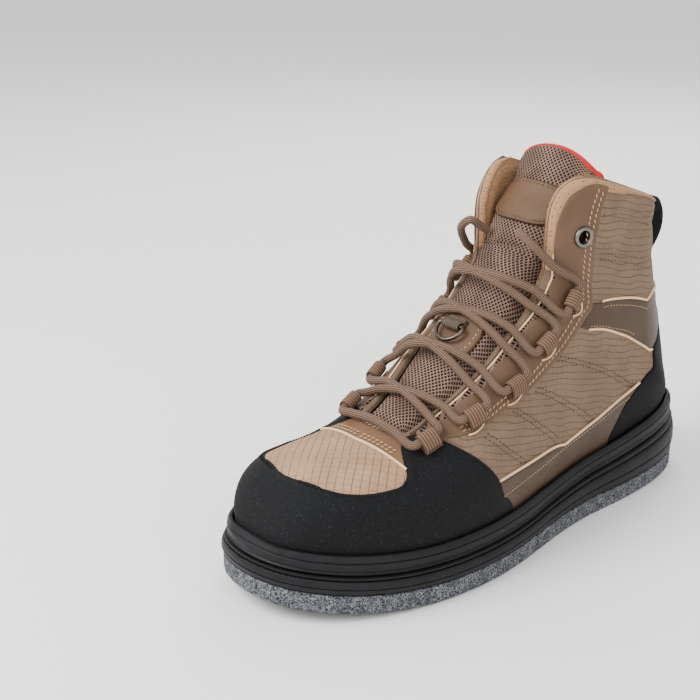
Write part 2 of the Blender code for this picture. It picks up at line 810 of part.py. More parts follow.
upper = shell("upper", (1, -1), upper_span, upper_face, lining_depth, SAND, 0.85)
shell("toe_cap", (1, -1), toe_cap_span, on_top, overlay_back, BLACK, 0.8)
shell("heel_counter", (1, -1), counter_span, on_top, overlay_back, BLACK, 0.7)
shell("lower_band_lateral", (1,), band_span, on_top, overlay_back, BROWN, 0.6)
band = shell("lower_band_medial", (-1,), band_span, on_top, overlay_back, BROWN, 0.6)
stays = {}
for word, side in (("lateral", 1), ("medial", -1)):
    stays[side] = shell("eyestay_" + word, (side,), eyestay_span, on_top, overlay_back, BROWN, 0.6)
drill(upper, eyelet_holes("upper_holes", EYELETS))
drill(band, eyelet_holes("band_holes", EYELETS[2:]))
drill(stays[1], eyelet_holes("lateral_flap_hole", EYELETS[:1]))
drill(stays[-1], eyelet_holes("medial_flap_hole", EYELETS[1:2]))
for eyelet in EYELETS:
    make_eyelet(*eyelet)


# Tongue, from the upper's own sections: it fills the throat and falls back inside the collar

TONGUE_SINK = (
    # k, how deep its middle lies under the ridge, as a share of SHAFT_WIDTH
    (0.305, 0.012),
    (0.510, 0.012),
    (0.580, 0.018),
    (0.650, 0.030),
    (0.710, 0.051),
    (0.755, 0.071),
    (0.800, 0.119),
    (0.850, 0.185),
    (0.890, 0.238),
    (0.930, 0.310),
    (0.965, 0.370),
    (1.000, 0.365),
)
TONGUE_TOP = (
    # share of TONGUE_RISE, share of the half width
    (0.45, 0.97),
    (0.80, 0.84),
    (1.00, 0.62),
)
TONGUE_FRONT = 0.021
K_TONGUE_OUT = (0.348, 0.380)
TONGUE_OVERLAP = 0.0075
TONGUE_BOW = 0.0085
TONGUE_ROWS = (0.307, 0.323, 0.335, 0.346, 0.360, 0.400, 0.421, 0.448, 0.475, 0.503, 0.540, 0.565, 0.590,
               0.635, 0.675, 0.720, 0.755, 0.793, 0.820, 0.850, 0.880, 0.905, 0.925, 0.945, 0.958, 0.970,
               0.985, 1.0)
TONGUE_COLUMNS = 8


def section_line(k):
    """Low point, direction and length of a section, in the plane of Y and Z."""
    low_y, low_z, high_y, high_z = section(k)[:4]
    length = math.hypot(high_y - low_y, high_z - low_z)
    return np.array([0, low_y, low_z]), np.array([0, high_y - low_y, high_z - low_z]) / length, length


def ridge_v(k, x, side):
    """The v at which the upper's form is x off its middle, above its widest place."""
    half, _, roundness, _ = section(k)[4:]
    share = min(abs(x) / half[side], 0.999)
    return 0.5 + math.acos(share ** (roundness / 2)) / math.pi


def wall_edge(k, side):
    """How far off its middle the inner corner of the throat's edge lies."""
    edge_v = throat_edge(k, side)
    return abs(skin(k, edge_v, side, lining_depth(k, edge_v, side))[0] - middle_x(k))


def tongue_half(k, side):
    if k <= K_THROAT:
        return TONGUE_FRONT
    cover = lining_depth(k, throat_edge(k, side), side)
    inside = 0.93 * section(k)[4][side] - cover - TONGUE_CLEARANCE
    return min(max(wall_edge(k, side) + TONGUE_OVERLAP, TONGUE_FRONT), inside)


@functools.lru_cache(maxsize=None)
def depth_line(k, side, depth):
    """A section of the form at a depth, above its widest place: x off the middle, and reach."""
    low, out, _ = section_line(k)
    across, reach = [], []
    for v in np.linspace(1.0, 0.52, 33):
        point, facing = surface(k, v, side), normal(k, v, side)
        n_x, n_out = float(facing[0]), float(facing @ out)
        in_plane = depth / (n_x ** 2 + n_out ** 2)
        across.append(max((point[0] - middle_x(k) - n_x * in_plane) * side, 0.0))
        reach.append(float((point - low) @ out) - n_out * in_plane)
    return np.maximum.accumulate(across), reach


def tongue_reach(k, x, side):
    """How far the tongue's face reaches from the low point of a section, at x off its middle."""
    sink = float(hermite(column(TONGUE_SINK, 0), column(TONGUE_SINK, 1), k)) * SHAFT_WIDTH
    wall = lining_depth(k, throat_edge(k, side), side)
    edge = wall_edge(k, side)
    under = float(smooth(edge - 0.0057, edge - 0.0015, abs(x)))
    if k < K_TONGUE_OUT[1]:
        under = max(under, 1 - float(smooth(*K_TONGUE_OUT, k)))
    form = np.interp(abs(x), *depth_line(k, side, 0.0))
    covered = np.interp(abs(x), *depth_line(k, side, wall + TONGUE_CLEARANCE))
    close = float(form + (covered - form) * under)
    free = section_line(k)[2] - sink - TONGUE_BOW * (x / tongue_half(k, side)) ** 2
    return min(close, free)


def tongue_point(k, x, side, height=0.0):
    """A point of the tongue's face, or height over it."""
    low, out, _ = section_line(k)
    point = low + out * (tongue_reach(k, x, side) + height)
    point[0] = middle_x(k) + x * side
    return point


TONGUE_LEAN = tongue_point(1.0, 0, 1) - tongue_point(0.965, 0, 1)
TONGUE_LEAN /= np.linalg.norm(TONGUE_LEAN)


def make_tongue():
    rows = [(k, 0.0, 1.0) for k in TONGUE_ROWS]
    rows += [(1.0, TONGUE_RISE * rise, width) for rise, width in TONGUE_TOP]
    face, back = [], []
    for k, beyond, width in rows:
        for j in range(-TONGUE_COLUMNS // 2, TONGUE_COLUMNS // 2 + 1):
            side = 1 if j >= 0 else -1
            share = abs(j) / (TONGUE_COLUMNS / 2)
            x = tongue_half(k, side) * share * width
            thick = TONGUE * (1 - 0.45 * share ** 2)
            face.append(tongue_point(k, x, side) + TONGUE_LEAN * beyond)
            back.append(tongue_point(k, x, side, -thick) + TONGUE_LEAN * beyond)
    wide = TONGUE_COLUMNS + 1
    faces = [(r * wide + j, r * wide + j + 1, (r + 1) * wide + j + 1, (r + 1) * wide + j)
             for r in range(len(rows) - 1) for j in range(TONGUE_COLUMNS)]
    count = len(face)
    edges = {(loop[n - 1], loop[n]) for loop in faces for n in range(4)}
    rims = [(b, a, a + count, b + count) for a, b in sorted(edges) if (b, a) not in edges]
    backs = [tuple(i + count for i in loop[::-1]) for loop in faces]
    bm = solid([tuple(point) for point in face + back], faces + backs + rims)
    finish("tongue", bm, MESH_GREY, 0.95)


def tongue_plate(name, k_low, k_high, half_width, low, high, corner, colour, roughness):
    """A plate with round corners that follows the tongue's face between two heights over it."""
    bm = bmesh.new()
    steps, wide = 6, 4
    layers = []
    for height in (low, high):
        grid = []
        for i in range(steps + 1):
            share = 2 * i / steps - 1
            k = k_low + (k_high - k_low) * i / steps
            over = max(abs(share) - (1 - corner), 0) / corner
            width = half_width * (1 - corner * (1 - math.sqrt(max(1 - over ** 2, 0.04))))
            grid.append([bm.verts.new(tongue_point(k, abs(x), 1 if x >= 0 else -1, height))
                         for x in (width * (2 * j / wide - 1) for j in range(wide + 1))])
        layers.append(grid)
    for layer, grid in enumerate(layers):
        for i in range(steps):
            for j in range(wide):
                loop = [grid[i][j], grid[i][j + 1], grid[i + 1][j + 1], grid[i + 1][j]]
                bm.faces.new(loop if layer else loop[::-1])
    rim = [(i, 0) for i in range(steps + 1)] + [(steps, j) for j in range(1, wide + 1)]
    rim += [(i, wide) for i in range(steps - 1, -1, -1)] + [(0, j) for j in range(wide - 1, 0, -1)]
    for here, there in zip(rim, rim[1:] + rim[:1]):
        bm.faces.new([layers[0][here[0]][here[1]], layers[0][there[0]][there[1]],
                      layers[1][there[0]][there[1]], layers[1][here[0]][here[1]]])
    finish(name, bm, colour, roughness)


make_tongue()
tongue_plate("tongue_badge", *BADGE_SPAN, BADGE_WIDTH / 2, PLATE_SEAT, PLATE_SEAT + BADGE_THICK, 0.55,
             BROWN, 0.6)
tongue_plate("tongue_patch", *PATCH_SPAN, PATCH_WIDTH / 2, PLATE_SEAT, PLATE_SEAT + PATCH_THICK, 0.4,
             BROWN, 0.6)


# D-ring on the tongue's patch, held by a tab of webbing

def make_ring():
    k_bar, k_far = RING_SPAN
    height = PLATE_SEAT + PATCH_THICK + GAP + RING_WIRE
    bar = tongue_point(k_bar, 0, 1, height)
    far = tongue_point(k_far, 0, 1, height)
    along = Vector(far - bar).normalized()
    across = Vector((1, 0, 0))
    out = along.cross(across)
    out = out if out.y < 0 else -out
    lift = out * RING_LIFT
    points = []
    for n in range(13):
        angle = math.pi * n / 12
        points.append(Vector(bar) + lift + across * RING_RADIUS * math.cos(angle)
                      + along * (0.0012 + RING_RADIUS * math.sin(angle)))
    points += [Vector(bar) + lift + across * RING_RADIUS * share for share in (-0.9, -0.45, 0.0, 0.45, 0.9)]
    bm = closed_tube(points, RING_WIRE, 6, out)
    finish("d_ring", bm, (0.10, 0.09, 0.085), 0.35, 1.0)
    clear = RING_WIRE + GAP + WEBBING / 2
    centre = Vector(bar) + lift
    sole_of_tab = PLATE_SEAT + PATCH_THICK + GAP + WEBBING / 2
    path = [Vector(tongue_point(k_bar + further, 0, 1, sole_of_tab)) for further in (0.023, 0.016)]
    path += [centre - out * clear * math.cos(turn) + along * clear * math.sin(turn)
             for turn in (math.radians(angle) for angle in (0, 60, 120, 180, 225))]
    path += [path[1] + out * (WEBBING + GAP), path[0] + out * (WEBBING + GAP)]
    finish("ring_tab", strap(path, across, RING_TAB_WIDTH, WEBBING), MESH_GREY, 0.9)


make_ring()


# Pull loop at the back of the collar

def make_pull_loop():
    seat = OVERLAY - WEBBING / 2
    path = [skin(k, 0, 1, depth) for k, depth in (
        (0.975, seat), (0.992, seat), (0.998, seat - 0.0035), (0.994, seat - 0.0080),
        (0.980, seat - PULL_LOOP_REACH), (0.966, seat - PULL_LOOP_REACH), (0.954, seat - 0.0072),
        (0.948, seat - 0.0030), (0.944, seat), (0.930, seat))]
    finish("pull_loop", strap(path, (1, 0, 0), PULL_LOOP_WIDTH, WEBBING), (0.05, 0.05, 0.05), 0.9)


make_pull_loop()


# Lace loops of folded webbing on the eyestays, and the lace that runs through them

LACE_LOOPS = (
    # k, lateral v, medial v
    (0.368, 0.822, 0.840),
    (0.455, 0.775, 0.785),
    (0.548, 0.730, 0.728),
    (0.655, 0.728, 0.730),
    (0.775, 0.718, 0.730),
)


def loop_frame(k, v, side):
    """Middle of a loop's seat on the overlay, and its directions: out, inward, and up the throat."""
    out = Vector(normal(k, v, side))
    inward = Vector(surface(k, v + 0.01, side) - surface(k, v - 0.01, side))
    inward = (inward - out * inward.dot(out)).normalized()
    upward = out.cross(inward)
    upward = upward if upward.z > 0 else -upward
    return Vector(surface(k, v, side)), out, inward, upward


LOOP_BEND = LACE / 2 + LACE_CLEARANCE + WEBBING / 2
LOOP_SEAT = LOOP_GAP + WEBBING / 2


def make_lace_loop(name, k, v, side):
    seat, out, inward, upward = loop_frame(k, v, side)
    centre = seat + out * (LOOP_SEAT + LOOP_BEND)
    path = [seat - inward * 0.0065 + out * LOOP_SEAT, seat + out * LOOP_SEAT]
    path += [centre + inward * LOOP_BEND * math.cos(turn) + out * LOOP_BEND * math.sin(turn)
             for turn in (math.radians(angle) for angle in (-55, -20, 20, 60, 95, 130))]
    path.append(seat - inward * 0.0060 + out * (LOOP_SEAT + WEBBING + GAP * 2))
    finish(name, strap(path, upward, LOOP_WIDTH, WEBBING), BROWN, 0.85)


for number, (k, lateral_v, medial_v) in enumerate(LACE_LOOPS, 1):
    make_lace_loop("lace_loop_lateral_%d" % number, k, lateral_v, 1)
    make_lace_loop("lace_loop_medial_%d" % number, k, medial_v, -1)


def loop_pass(number, side, upwards):
    """Points of the lace where it runs straight through a loop."""
    k, lateral_v, medial_v = LACE_LOOPS[number - 1]
    seat, out, inward, upward = loop_frame(k, lateral_v if side > 0 else medial_v, side)
    centre = seat + out * (LOOP_SEAT + LOOP_BEND)
    half = LOOP_WIDTH / 2
    points = [centre + upward * reach for reach in (-half - LACE_LEAD, -half, half, half + LACE_LEAD)]
    return points if upwards else points[::-1]


def over_shoe(k, x, height):
    """A point at a height over the upper's form, x off its middle."""
    side = 1 if x >= 0 else -1
    v = ridge_v(k, x, side)
    return Vector(surface(k, v, side) + normal(k, v, side) * height)


def crossing(number, from_side, rise):
    """Points of the lace between loop number on one side and the next one on the other side."""
    k0, k1 = LACE_LOOPS[number - 1][0], LACE_LOOPS[number][0]
    table = ((0.33, 0.026, 0.0), (0.41, 0.013, 0.7), (0.50, 0.0, 1.0), (0.59, -0.013, 0.7), (0.67, -0.026, 0.0))
    return [over_shoe(k0 + (k1 - k0) * share, from_side * x, LACE / 2 + LACE_EDGE
                      + (LACE_OVER - LACE_EDGE + rise) * lifted)
            for share, x, lifted in table]


def smooth_path(points, step):
    """A smooth curve through the points in steps of about the given length."""
    points = np.array([tuple(point) for point in points])
    lengths = np.linalg.norm(np.diff(points, axis=0), axis=1)
    keys = np.r_[0, np.cumsum(lengths)]
    at = [0.0]
    for start, length in zip(keys, lengths):
        count = max(int(round(length / step)), 1)
        at += [start + length * n / count for n in range(1, count + 1)]
    return np.c_[tuple(hermite(keys, points[:, axis], at) for axis in range(3))]


def lace_end(side):
    """The lace's end: from the inner edge of a flap down to the tongue behind it."""
    edge = wall_edge(K_LACE_END, side) - LACE / 2 - LACE_EDGE
    tucked = Vector(tongue_point(K_LACE_END, edge - 0.0025, side, LACE / 2 + LACE_EDGE))
    mouth = over_shoe(K_LACE_END, side * edge, 0.0)
    return [tucked, tucked.lerp(mouth, 0.55), mouth,
            over_shoe(K_LACE_END - 0.006, side * (edge + 0.0045), LACE / 2 + LACE_EDGE),
            over_shoe(K_LACE_END - 0.036, side * (edge + 0.0125), LACE / 2 + LACE_EDGE + LOOP_GAP)]


def lace_run():
    low, high = 0.0, LACE + LACE_CROSS
    points = lace_end(1)
    points += loop_pass(5, 1, False)
    side = -1
    for number in (4, 3, 2, 1):
        points += crossing(number, side, high if side < 0 else low)[::-1]
        points += loop_pass(number, side, False)
        side = -side
    points += [over_shoe(K_BAR, x, LACE / 2 + LACE_OVER) for x in (0.016, 0.0, -0.016)]
    side = -1
    for number in (1, 2, 3, 4):
        points += loop_pass(number, side, True)
        points += crossing(number, side, low if side < 0 else high)
        side = -side
    points += loop_pass(5, side, True)
    points += lace_end(-1)[::-1]
    return points


finish("lace", tube(smooth_path(lace_run(), LACE_STEP), LACE / 2, 6), (0.17, 0.13, 0.10), 0.9)
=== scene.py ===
# Left wading boot, dressed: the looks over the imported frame. Metres, +Z up, toe to -Y, lateral side +X.
import functools
import math

import bmesh
import bpy
import numpy as np
from mathutils import Matrix, Vector
from mathutils.kdtree import KDTree


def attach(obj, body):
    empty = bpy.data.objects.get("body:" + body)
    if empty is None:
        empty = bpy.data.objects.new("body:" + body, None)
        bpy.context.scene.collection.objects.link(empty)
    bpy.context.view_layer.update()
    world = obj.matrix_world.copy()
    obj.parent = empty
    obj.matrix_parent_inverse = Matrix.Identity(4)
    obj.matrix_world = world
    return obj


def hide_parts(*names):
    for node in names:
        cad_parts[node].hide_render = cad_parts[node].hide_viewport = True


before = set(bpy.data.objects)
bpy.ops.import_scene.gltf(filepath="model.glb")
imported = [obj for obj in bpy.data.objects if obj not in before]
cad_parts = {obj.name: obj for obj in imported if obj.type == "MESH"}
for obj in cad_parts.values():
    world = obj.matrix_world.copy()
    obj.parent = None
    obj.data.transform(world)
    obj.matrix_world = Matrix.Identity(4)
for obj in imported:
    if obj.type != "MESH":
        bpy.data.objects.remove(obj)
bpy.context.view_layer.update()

# The view
# A plain pale floor and soft studio light. The camera looks down on the outer side of the boot from
# the front, through a lens a little longer than normal, as the photo does.

VIEW_TARGET = Vector((-0.1044, 0.0, 0.0721))
VIEW_FROM = Vector((0.4991, -0.5203, 0.3681))
FOCAL_LENGTH = 71.54

camera_data = bpy.data.cameras.new("camera")
camera_data.lens = FOCAL_LENGTH
camera_data.sensor_width = 36.0
camera_data.clip_start = 0.01
camera = bpy.data.objects.new("camera", camera_data)
bpy.context.scene.collection.objects.link(camera)
camera.matrix_world = (Matrix.Translation(VIEW_FROM)
                       @ (VIEW_FROM - VIEW_TARGET).to_track_quat("Z", "Y").to_matrix().to_4x4())
bpy.context.scene.camera = camera


def soft_light(name, place, target, size, power):
    lamp = bpy.data.lights.new(name, "AREA")
    lamp.size = size
    lamp.energy = power
    item = bpy.data.objects.new(name, lamp)
    bpy.context.scene.collection.objects.link(item)
    turned = (Vector(place) - Vector(target)).to_track_quat("Z", "Y").to_matrix().to_4x4()
    item.matrix_world = Matrix.Translation(place) @ turned


soft_light("key", (-0.35, -0.95, 1.05), (0.0, 0.0, 0.08), 0.9, 30.0)
soft_light("fill", (1.15, -0.35, 0.65), (0.0, 0.0, 0.08), 1.1, 8.0)
soft_light("back", (-0.55, 0.85, 0.95), (0.0, 0.0, 0.10), 0.9, 11.0)
world = bpy.data.worlds.new("studio")
world.use_nodes = True
world.node_tree.nodes["Background"].inputs["Color"].default_value = (1.0, 1.0, 1.0, 1.0)
world.node_tree.nodes["Background"].inputs["Strength"].default_value = 1.1
bpy.context.scene.world = world


def linear(code):
    """Linear colour from an sRGB hex code."""
    parts = [int(code[i:i + 2], 16) / 255 for i in (1, 3, 5)]
    return tuple(c / 12.92 if c <= 0.04045 else ((c + 0.055) / 1.055) ** 2.4 for c in parts) + (1.0,)


def material(name, colour, roughness, **sockets):
    """A material with a plain colour, or None where nodes give it, and its tree and shader."""
    made = bpy.data.materials.new(name)
    made.use_nodes = True
    tree = made.node_tree
    shader = tree.nodes["Principled BSDF"]
    values = {"Roughness": roughness, **sockets}
    for socket, value in values.items():
        shader.inputs[socket.replace("_", " ")].default_value = value
    if isinstance(colour, str):
        shader.inputs["Base Color"].default_value = linear(colour)
    return made, tree, shader


# A bright matt floor, which throws a soft light back under the boot.
floor_bm = bmesh.new()
bmesh.ops.create_grid(floor_bm, x_segments=1, y_segments=1, size=6.0)
floor_mesh = bpy.data.meshes.new("floor")
floor_bm.to_mesh(floor_mesh)
floor_bm.free()
floor = bpy.data.objects.new("floor", floor_mesh)
bpy.context.scene.collection.objects.link(floor)
floor_mesh.materials.append(material("pale_studio_floor", "#f1f0ee", 0.9)[0])

# Felt outsole
# A thick pressed sheet of dyed polyester fibres, cut to the sole's outline and glued on. The frame's
# own solid has the right shape and holes, so it only gets the speckled, fibrous felt.

FIBRE = 0.0008
TUFT = 0.0016
FELT_PATCH = 0.0045


def add(tree, kind, inputs, out=0, to=None, **settings):
    """Add a shader node and give an output; an input is a value, an sRGB hex code or a socket."""
    made = tree.nodes.new("ShaderNode" + kind)
    for name, value in settings.items():
        setattr(made, name, value)
    for place, value in inputs.items() if isinstance(inputs, dict) else enumerate(inputs):
        if isinstance(value, bpy.types.NodeSocket):
            tree.links.new(value, made.inputs[place])
        else:
            made.inputs[place].default_value = linear(value) if isinstance(value, str) else value
    if to is not None:
        tree.links.new(made.outputs[out], to)
    return made.outputs[out]


def grained(tree, shader, size, distance, strength, detail=2.0, rough=0.5, under=None):
    """Raise the surface in grains about size metres across, over a bump that may lie under it."""
    where = add(tree, "TexCoord", (), "Object")
    grain = add(tree, "TexNoise", {"Vector": where, "Scale": 1 / size, "Detail": detail, "Roughness": rough})
    inputs = {"Height": grain, "Distance": distance, "Strength": strength}
    if under is not None:
        inputs["Normal"] = under
    return add(tree, "Bump", inputs, 0, shader.inputs["Normal"])


# Matt grey speckle of pale and dark fibres, drawn coarser than real fibres so that it shows. A Mix node
# of colours takes them at 6 and 7 and gives them at 2.
felt_made, tree, shader = material("pressed_polyester_felt", None, 1.0, Specular_IOR_Level=0.1)
where = add(tree, "TexCoord", (), "Object")
fibres = add(tree, "TexNoise", {"Vector": where, "Scale": 1 / FIBRE, "Detail": 3.0, "Roughness": 0.65,
                                "Distortion": 1.2})
tufts = add(tree, "TexVoronoi", {"Vector": where, "Scale": 1 / TUFT})
speckle = add(tree, "MapRange", (fibres, 0.42, 0.60), interpolation_type="SMOOTHSTEP")
base = add(tree, "Mix", {0: speckle, 6: "#191a1f", 7: "#92949a"}, 2, data_type="RGBA")
stain = add(tree, "TexNoise", {"Vector": where, "Scale": 1 / FELT_PATCH})
stain = add(tree, "MapRange", (stain, 0.35, 0.68, 0.0, 0.5), interpolation_type="SMOOTHSTEP")
add(tree, "Mix", {0: stain, 6: base, 7: "#2c2e33"}, 2, shader.inputs["Base Color"], data_type="RGBA")
pile = add(tree, "Math", (fibres, tufts), operation="ADD")
add(tree, "Bump", {"Height": pile, "Distance": 0.0009, "Strength": 0.9}, 0, shader.inputs["Normal"])

# Near black and dull, with the grain of a fine knit.
insole_made, tree, shader = material("dark_knit_on_foam", "#2b2a29", 0.95)
grained(tree, shader, 0.0008, 0.0004, 0.8)
for node, made in (("felt_outsole", felt_made), ("insole", insole_made)):
    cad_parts[node].data.materials.clear()
    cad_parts[node].data.materials.append(made)

# Midsole
# One moulding of black rubber: a wedge thicker under the heel, a bulging lower band with a fine line,
# a serrated ledge, a deep groove, and a foxing band that leans in round the upper. Ribbed bosses stand
# on its underside in the felt's holes.

SOLE_LENGTH = 0.318
BALL_WIDTH = 0.1245
FELT = 0.0105
FORE_SOLE = 0.0115
HEEL_SOLE = 0.0240
TOE_SPRING = 0.0100
HEEL_SPRING = 0.0030
FLANGE = 0.0072
RIM_HEIGHT = 0.0088
CUP_GAP = 0.0008
GAP = 0.0003
SOLE_OUTLINE = (
    # along from the heel, lateral, medial: half widths as shares of BALL_WIDTH
    (0.000, 0.000, 0.000), (0.012, 0.180, 0.160), (0.050, 0.262, 0.262), (0.120, 0.328, 0.322),
    (0.220, 0.361, 0.343), (0.350, 0.372, 0.332), (0.450, 0.410, 0.352), (0.550, 0.466, 0.410),
    (0.640, 0.494, 0.468), (0.740, 0.482, 0.494), (0.840, 0.425, 0.460), (0.920, 0.325, 0.373),
    (0.980, 0.172, 0.222), (1.000, -0.020, 0.020),
)
SOLE_PROFILE = (
    # share of the wedge's height, inset in metres
    (0.00, 0.0010), (0.03, 0.0004), (0.12, -0.0004), (0.26, -0.0009), (0.300, -0.0008), (0.312, -0.0002),
    (0.330, -0.0002), (0.342, -0.0008), (0.44, -0.0008), (0.56, -0.0004), (0.635, 0.0000), (0.655, 0.0006),
    (0.665, 0.0017), (0.70, 0.0019), (0.72, 0.0012), (0.735, 0.0008), (0.80, 0.0008), (0.825, 0.0012),
    (0.835, 0.0030), (0.85, 0.0042), (0.875, 0.0042), (0.895, 0.0030), (0.915, 0.0022), (0.96, 0.0020),
)
STUDS = (
    # along from the toe, in from the lateral edge, in from the medial edge, as shares
    (0.100, 0.50, 0.0), (0.190, 0.22, 0.22), (0.305, 0.24, 0.22), (0.420, 0.25, 0.23),
    (0.530, 0.24, 0.22), (0.790, 0.24, 0.24), (0.900, 0.26, 0.26),
)
BOSS_PROFILE = (
    # radius, height over the boss's foot
    (0.0022, 0.0045), (0.0022, 0.0), (0.0030, -0.0006), (0.0046, -0.0006), (0.0050, 0.0),
    (0.0058, 0.0), (0.0062, -0.0006), (0.0078, -0.0006), (0.0086, 0.0), (0.0090, 0.006),
)
STUD_SINK = 0.0015
TOOTH = 0.0008


def hermite(keys, values, at):
    keys = np.asarray(keys, float)
    values = np.asarray(values, float)
    at = np.clip(at, keys[0], keys[-1])
    step = np.diff(keys)
    slope = np.diff(values) / step
    tangent = np.empty(len(keys))
    tangent[1:-1] = (slope[:-1] * step[1:] + slope[1:] * step[:-1]) / (step[1:] + step[:-1])
    tangent[0] = 2 * slope[0] - tangent[1]
    tangent[-1] = 2 * slope[-1] - tangent[-2]
    i = np.clip(np.searchsorted(keys, at, side="right") - 1, 0, len(keys) - 2)
    h = step[i]
    u = (at - keys[i]) / h
    return ((2 * u**3 - 3 * u**2 + 1) * values[i] + (u**3 - 2 * u**2 + u) * h * tangent[i]
            + (3 * u**2 - 2 * u**3) * values[i + 1] + (u**3 - u**2) * h * tangent[i + 1])


def smooth(low, high, at):
    u = (at - low) / (high - low)
    u = np.clip(u, 0.0, 1.0) if isinstance(u, np.ndarray) else min(max(u, 0.0), 1.0)
    return u * u * (3 - 2 * u)


def moved_inward(points, distance):
    tangent = np.roll(points, -1, 0) - np.roll(points, 1, 0)
    tangent /= np.linalg.norm(tangent, axis=1)[:, None]
    out = np.c_[tangent[:, 1], -tangent[:, 0]]
    if ((points - points.mean(0)) * out).sum() < 0:
        out = -out
    return points - out * distance


def outline(inset, count=960):
    rows = np.array(SOLE_OUTLINE)
    knots = np.vstack([np.c_[rows[:, 1], rows[:, 0]], np.c_[-rows[:, 2], rows[:, 0]][::-1][1:-1]])
    knots = np.c_[knots[:, 0] * BALL_WIDTH, SOLE_LENGTH * (0.5 - knots[:, 1])]
    wrapped = np.vstack([knots[-3:], knots, knots[:4]])
    chord = np.r_[0, np.cumsum(np.sqrt(np.hypot(*np.diff(wrapped, axis=0).T)))]
    at = np.linspace(chord[3], chord[3 + len(knots)], count, endpoint=False)
    return moved_inward(np.c_[hermite(chord, wrapped[:, 0], at), hermite(chord, wrapped[:, 1], at)], inset)


def split_sides(points):
    toe, heel = points[np.argmin(points[:, 1])], points[np.argmax(points[:, 1])]
    middle = np.interp(points[:, 1], [toe[1], heel[1]], [toe[0], heel[0]])
    halves = {}
    for side in (1, -1):
        half = points[(points[:, 0] - middle) * side >= 0]
        halves[side] = np.vstack([toe, half[np.argsort(half[:, 1])], heel])
    return halves


def loop_of(points, height, rows=150):
    """A closed ring of 3-D points on a sole outline, lateral side from the toe, then medial back."""
    halves = split_sides(points)
    toe, heel = points[:, 1].min(), points[:, 1].max()
    y = toe + (heel - toe) * 0.5 * (1 - np.cos(np.linspace(0, math.pi, rows)))
    z = height(y)
    lateral = np.interp(y, halves[1][:, 1], halves[1][:, 0])
    medial = np.interp(y, halves[-1][:, 1], halves[-1][:, 0])
    return np.vstack([np.c_[lateral, y, z], np.c_[medial, y, z][-2:0:-1]])


def spine_of(loop):
    """The ring drawn in to the line along its middle, which closes a loft flat."""
    mirrored = np.r_[loop[:1], loop[:0:-1]]
    return (loop + mirrored) / 2


def along_share(y):
    return 0.5 - y / SOLE_LENGTH


def ground(y):
    share = along_share(y)
    toe = TOE_SPRING * (share > 0.70) * ((share - 0.70) / 0.30) ** 2
    return toe + HEEL_SPRING * (share < 0.09) * ((0.09 - share) / 0.09) ** 2


def wedge(y):
    return FORE_SOLE + (HEEL_SOLE - FORE_SOLE) * (1 - smooth(0.02, 0.56, along_share(y)))


def platform(y):
    return ground(y) + FELT + wedge(y)


FOOT_LINE = split_sides(outline(FLANGE, 480))
TOE = FOOT_LINE[1][0]
HEEL = FOOT_LINE[1][-1]


def placed_grid(across, up, place, uv):
    """A grid whose corners go where place(s, t) says, with a UV map in metres from uv(s, t, point)."""
    bm = bmesh.new()
    bmesh.ops.create_grid(bm, x_segments=across, y_segments=up, size=0.5)
    layer = bm.loops.layers.uv.new("cloth")
    spots = {}
    for vert in bm.verts:
        i = round((vert.co.x + 0.5) * across)
        j = round((vert.co.y + 0.5) * up)
        point = place(i, j)
        vert.co = point
        spots[vert] = uv(i, j, vert.co)
    for face in bm.faces:
        for loop in face.loops:
            loop[layer].uv = spots[loop.vert]
    return bm


def show(name, bm, finish, out=None, body="root", angle=50, wall=0.0, merge=0.00002):
    """Turn a bmesh into a piece of the boot; out gives a direction that its faces look towards."""
    bmesh.ops.remove_doubles(bm, verts=bm.verts, dist=merge)
    bmesh.ops.dissolve_degenerate(bm, dist=0.000005, edges=bm.edges)
    if out is None:
        bmesh.ops.recalc_face_normals(bm, faces=bm.faces)
    else:
        bm.normal_update()
        if sum(face.normal.dot(out(face.calc_center_median())) for face in bm.faces) < 0:
            bmesh.ops.reverse_faces(bm, faces=bm.faces)
    mesh = bpy.data.meshes.new(name)
    bm.to_mesh(mesh)
    bm.free()
    mesh.shade_smooth()
    mesh.set_sharp_from_angle(angle=math.radians(angle))
    for entry in finish if isinstance(finish, (list, tuple)) else [finish]:
        mesh.materials.append(entry)
    item = bpy.data.objects.new(name, mesh)
    bpy.context.scene.collection.objects.link(item)
    if wall:
        backing = item.modifiers.new("wall", "SOLIDIFY")
        backing.thickness = wall
        backing.offset = -1.0
    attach(item, body)
    return item


def loft(rings):
    """Skin a list of equal closed rings."""
    count = len(rings[0])
    around = np.diff(np.vstack([rings[0], rings[0][:1]]), axis=0)
    lengths = np.r_[0, np.cumsum(np.linalg.norm(around, axis=1))]
    return placed_grid(count, len(rings) - 1, lambda i, j: Vector(rings[j][i % count]),
                       lambda i, j, point: (lengths[i], j * 0.001))


# The midsole's cup follows the upper's form, which every piece of the upper lies on. It is given by
# sections fanned from the toe to the collar: k runs along the shoe, v from the foot line or back seam
# (0) to the ridge of toe, instep and shin (1).

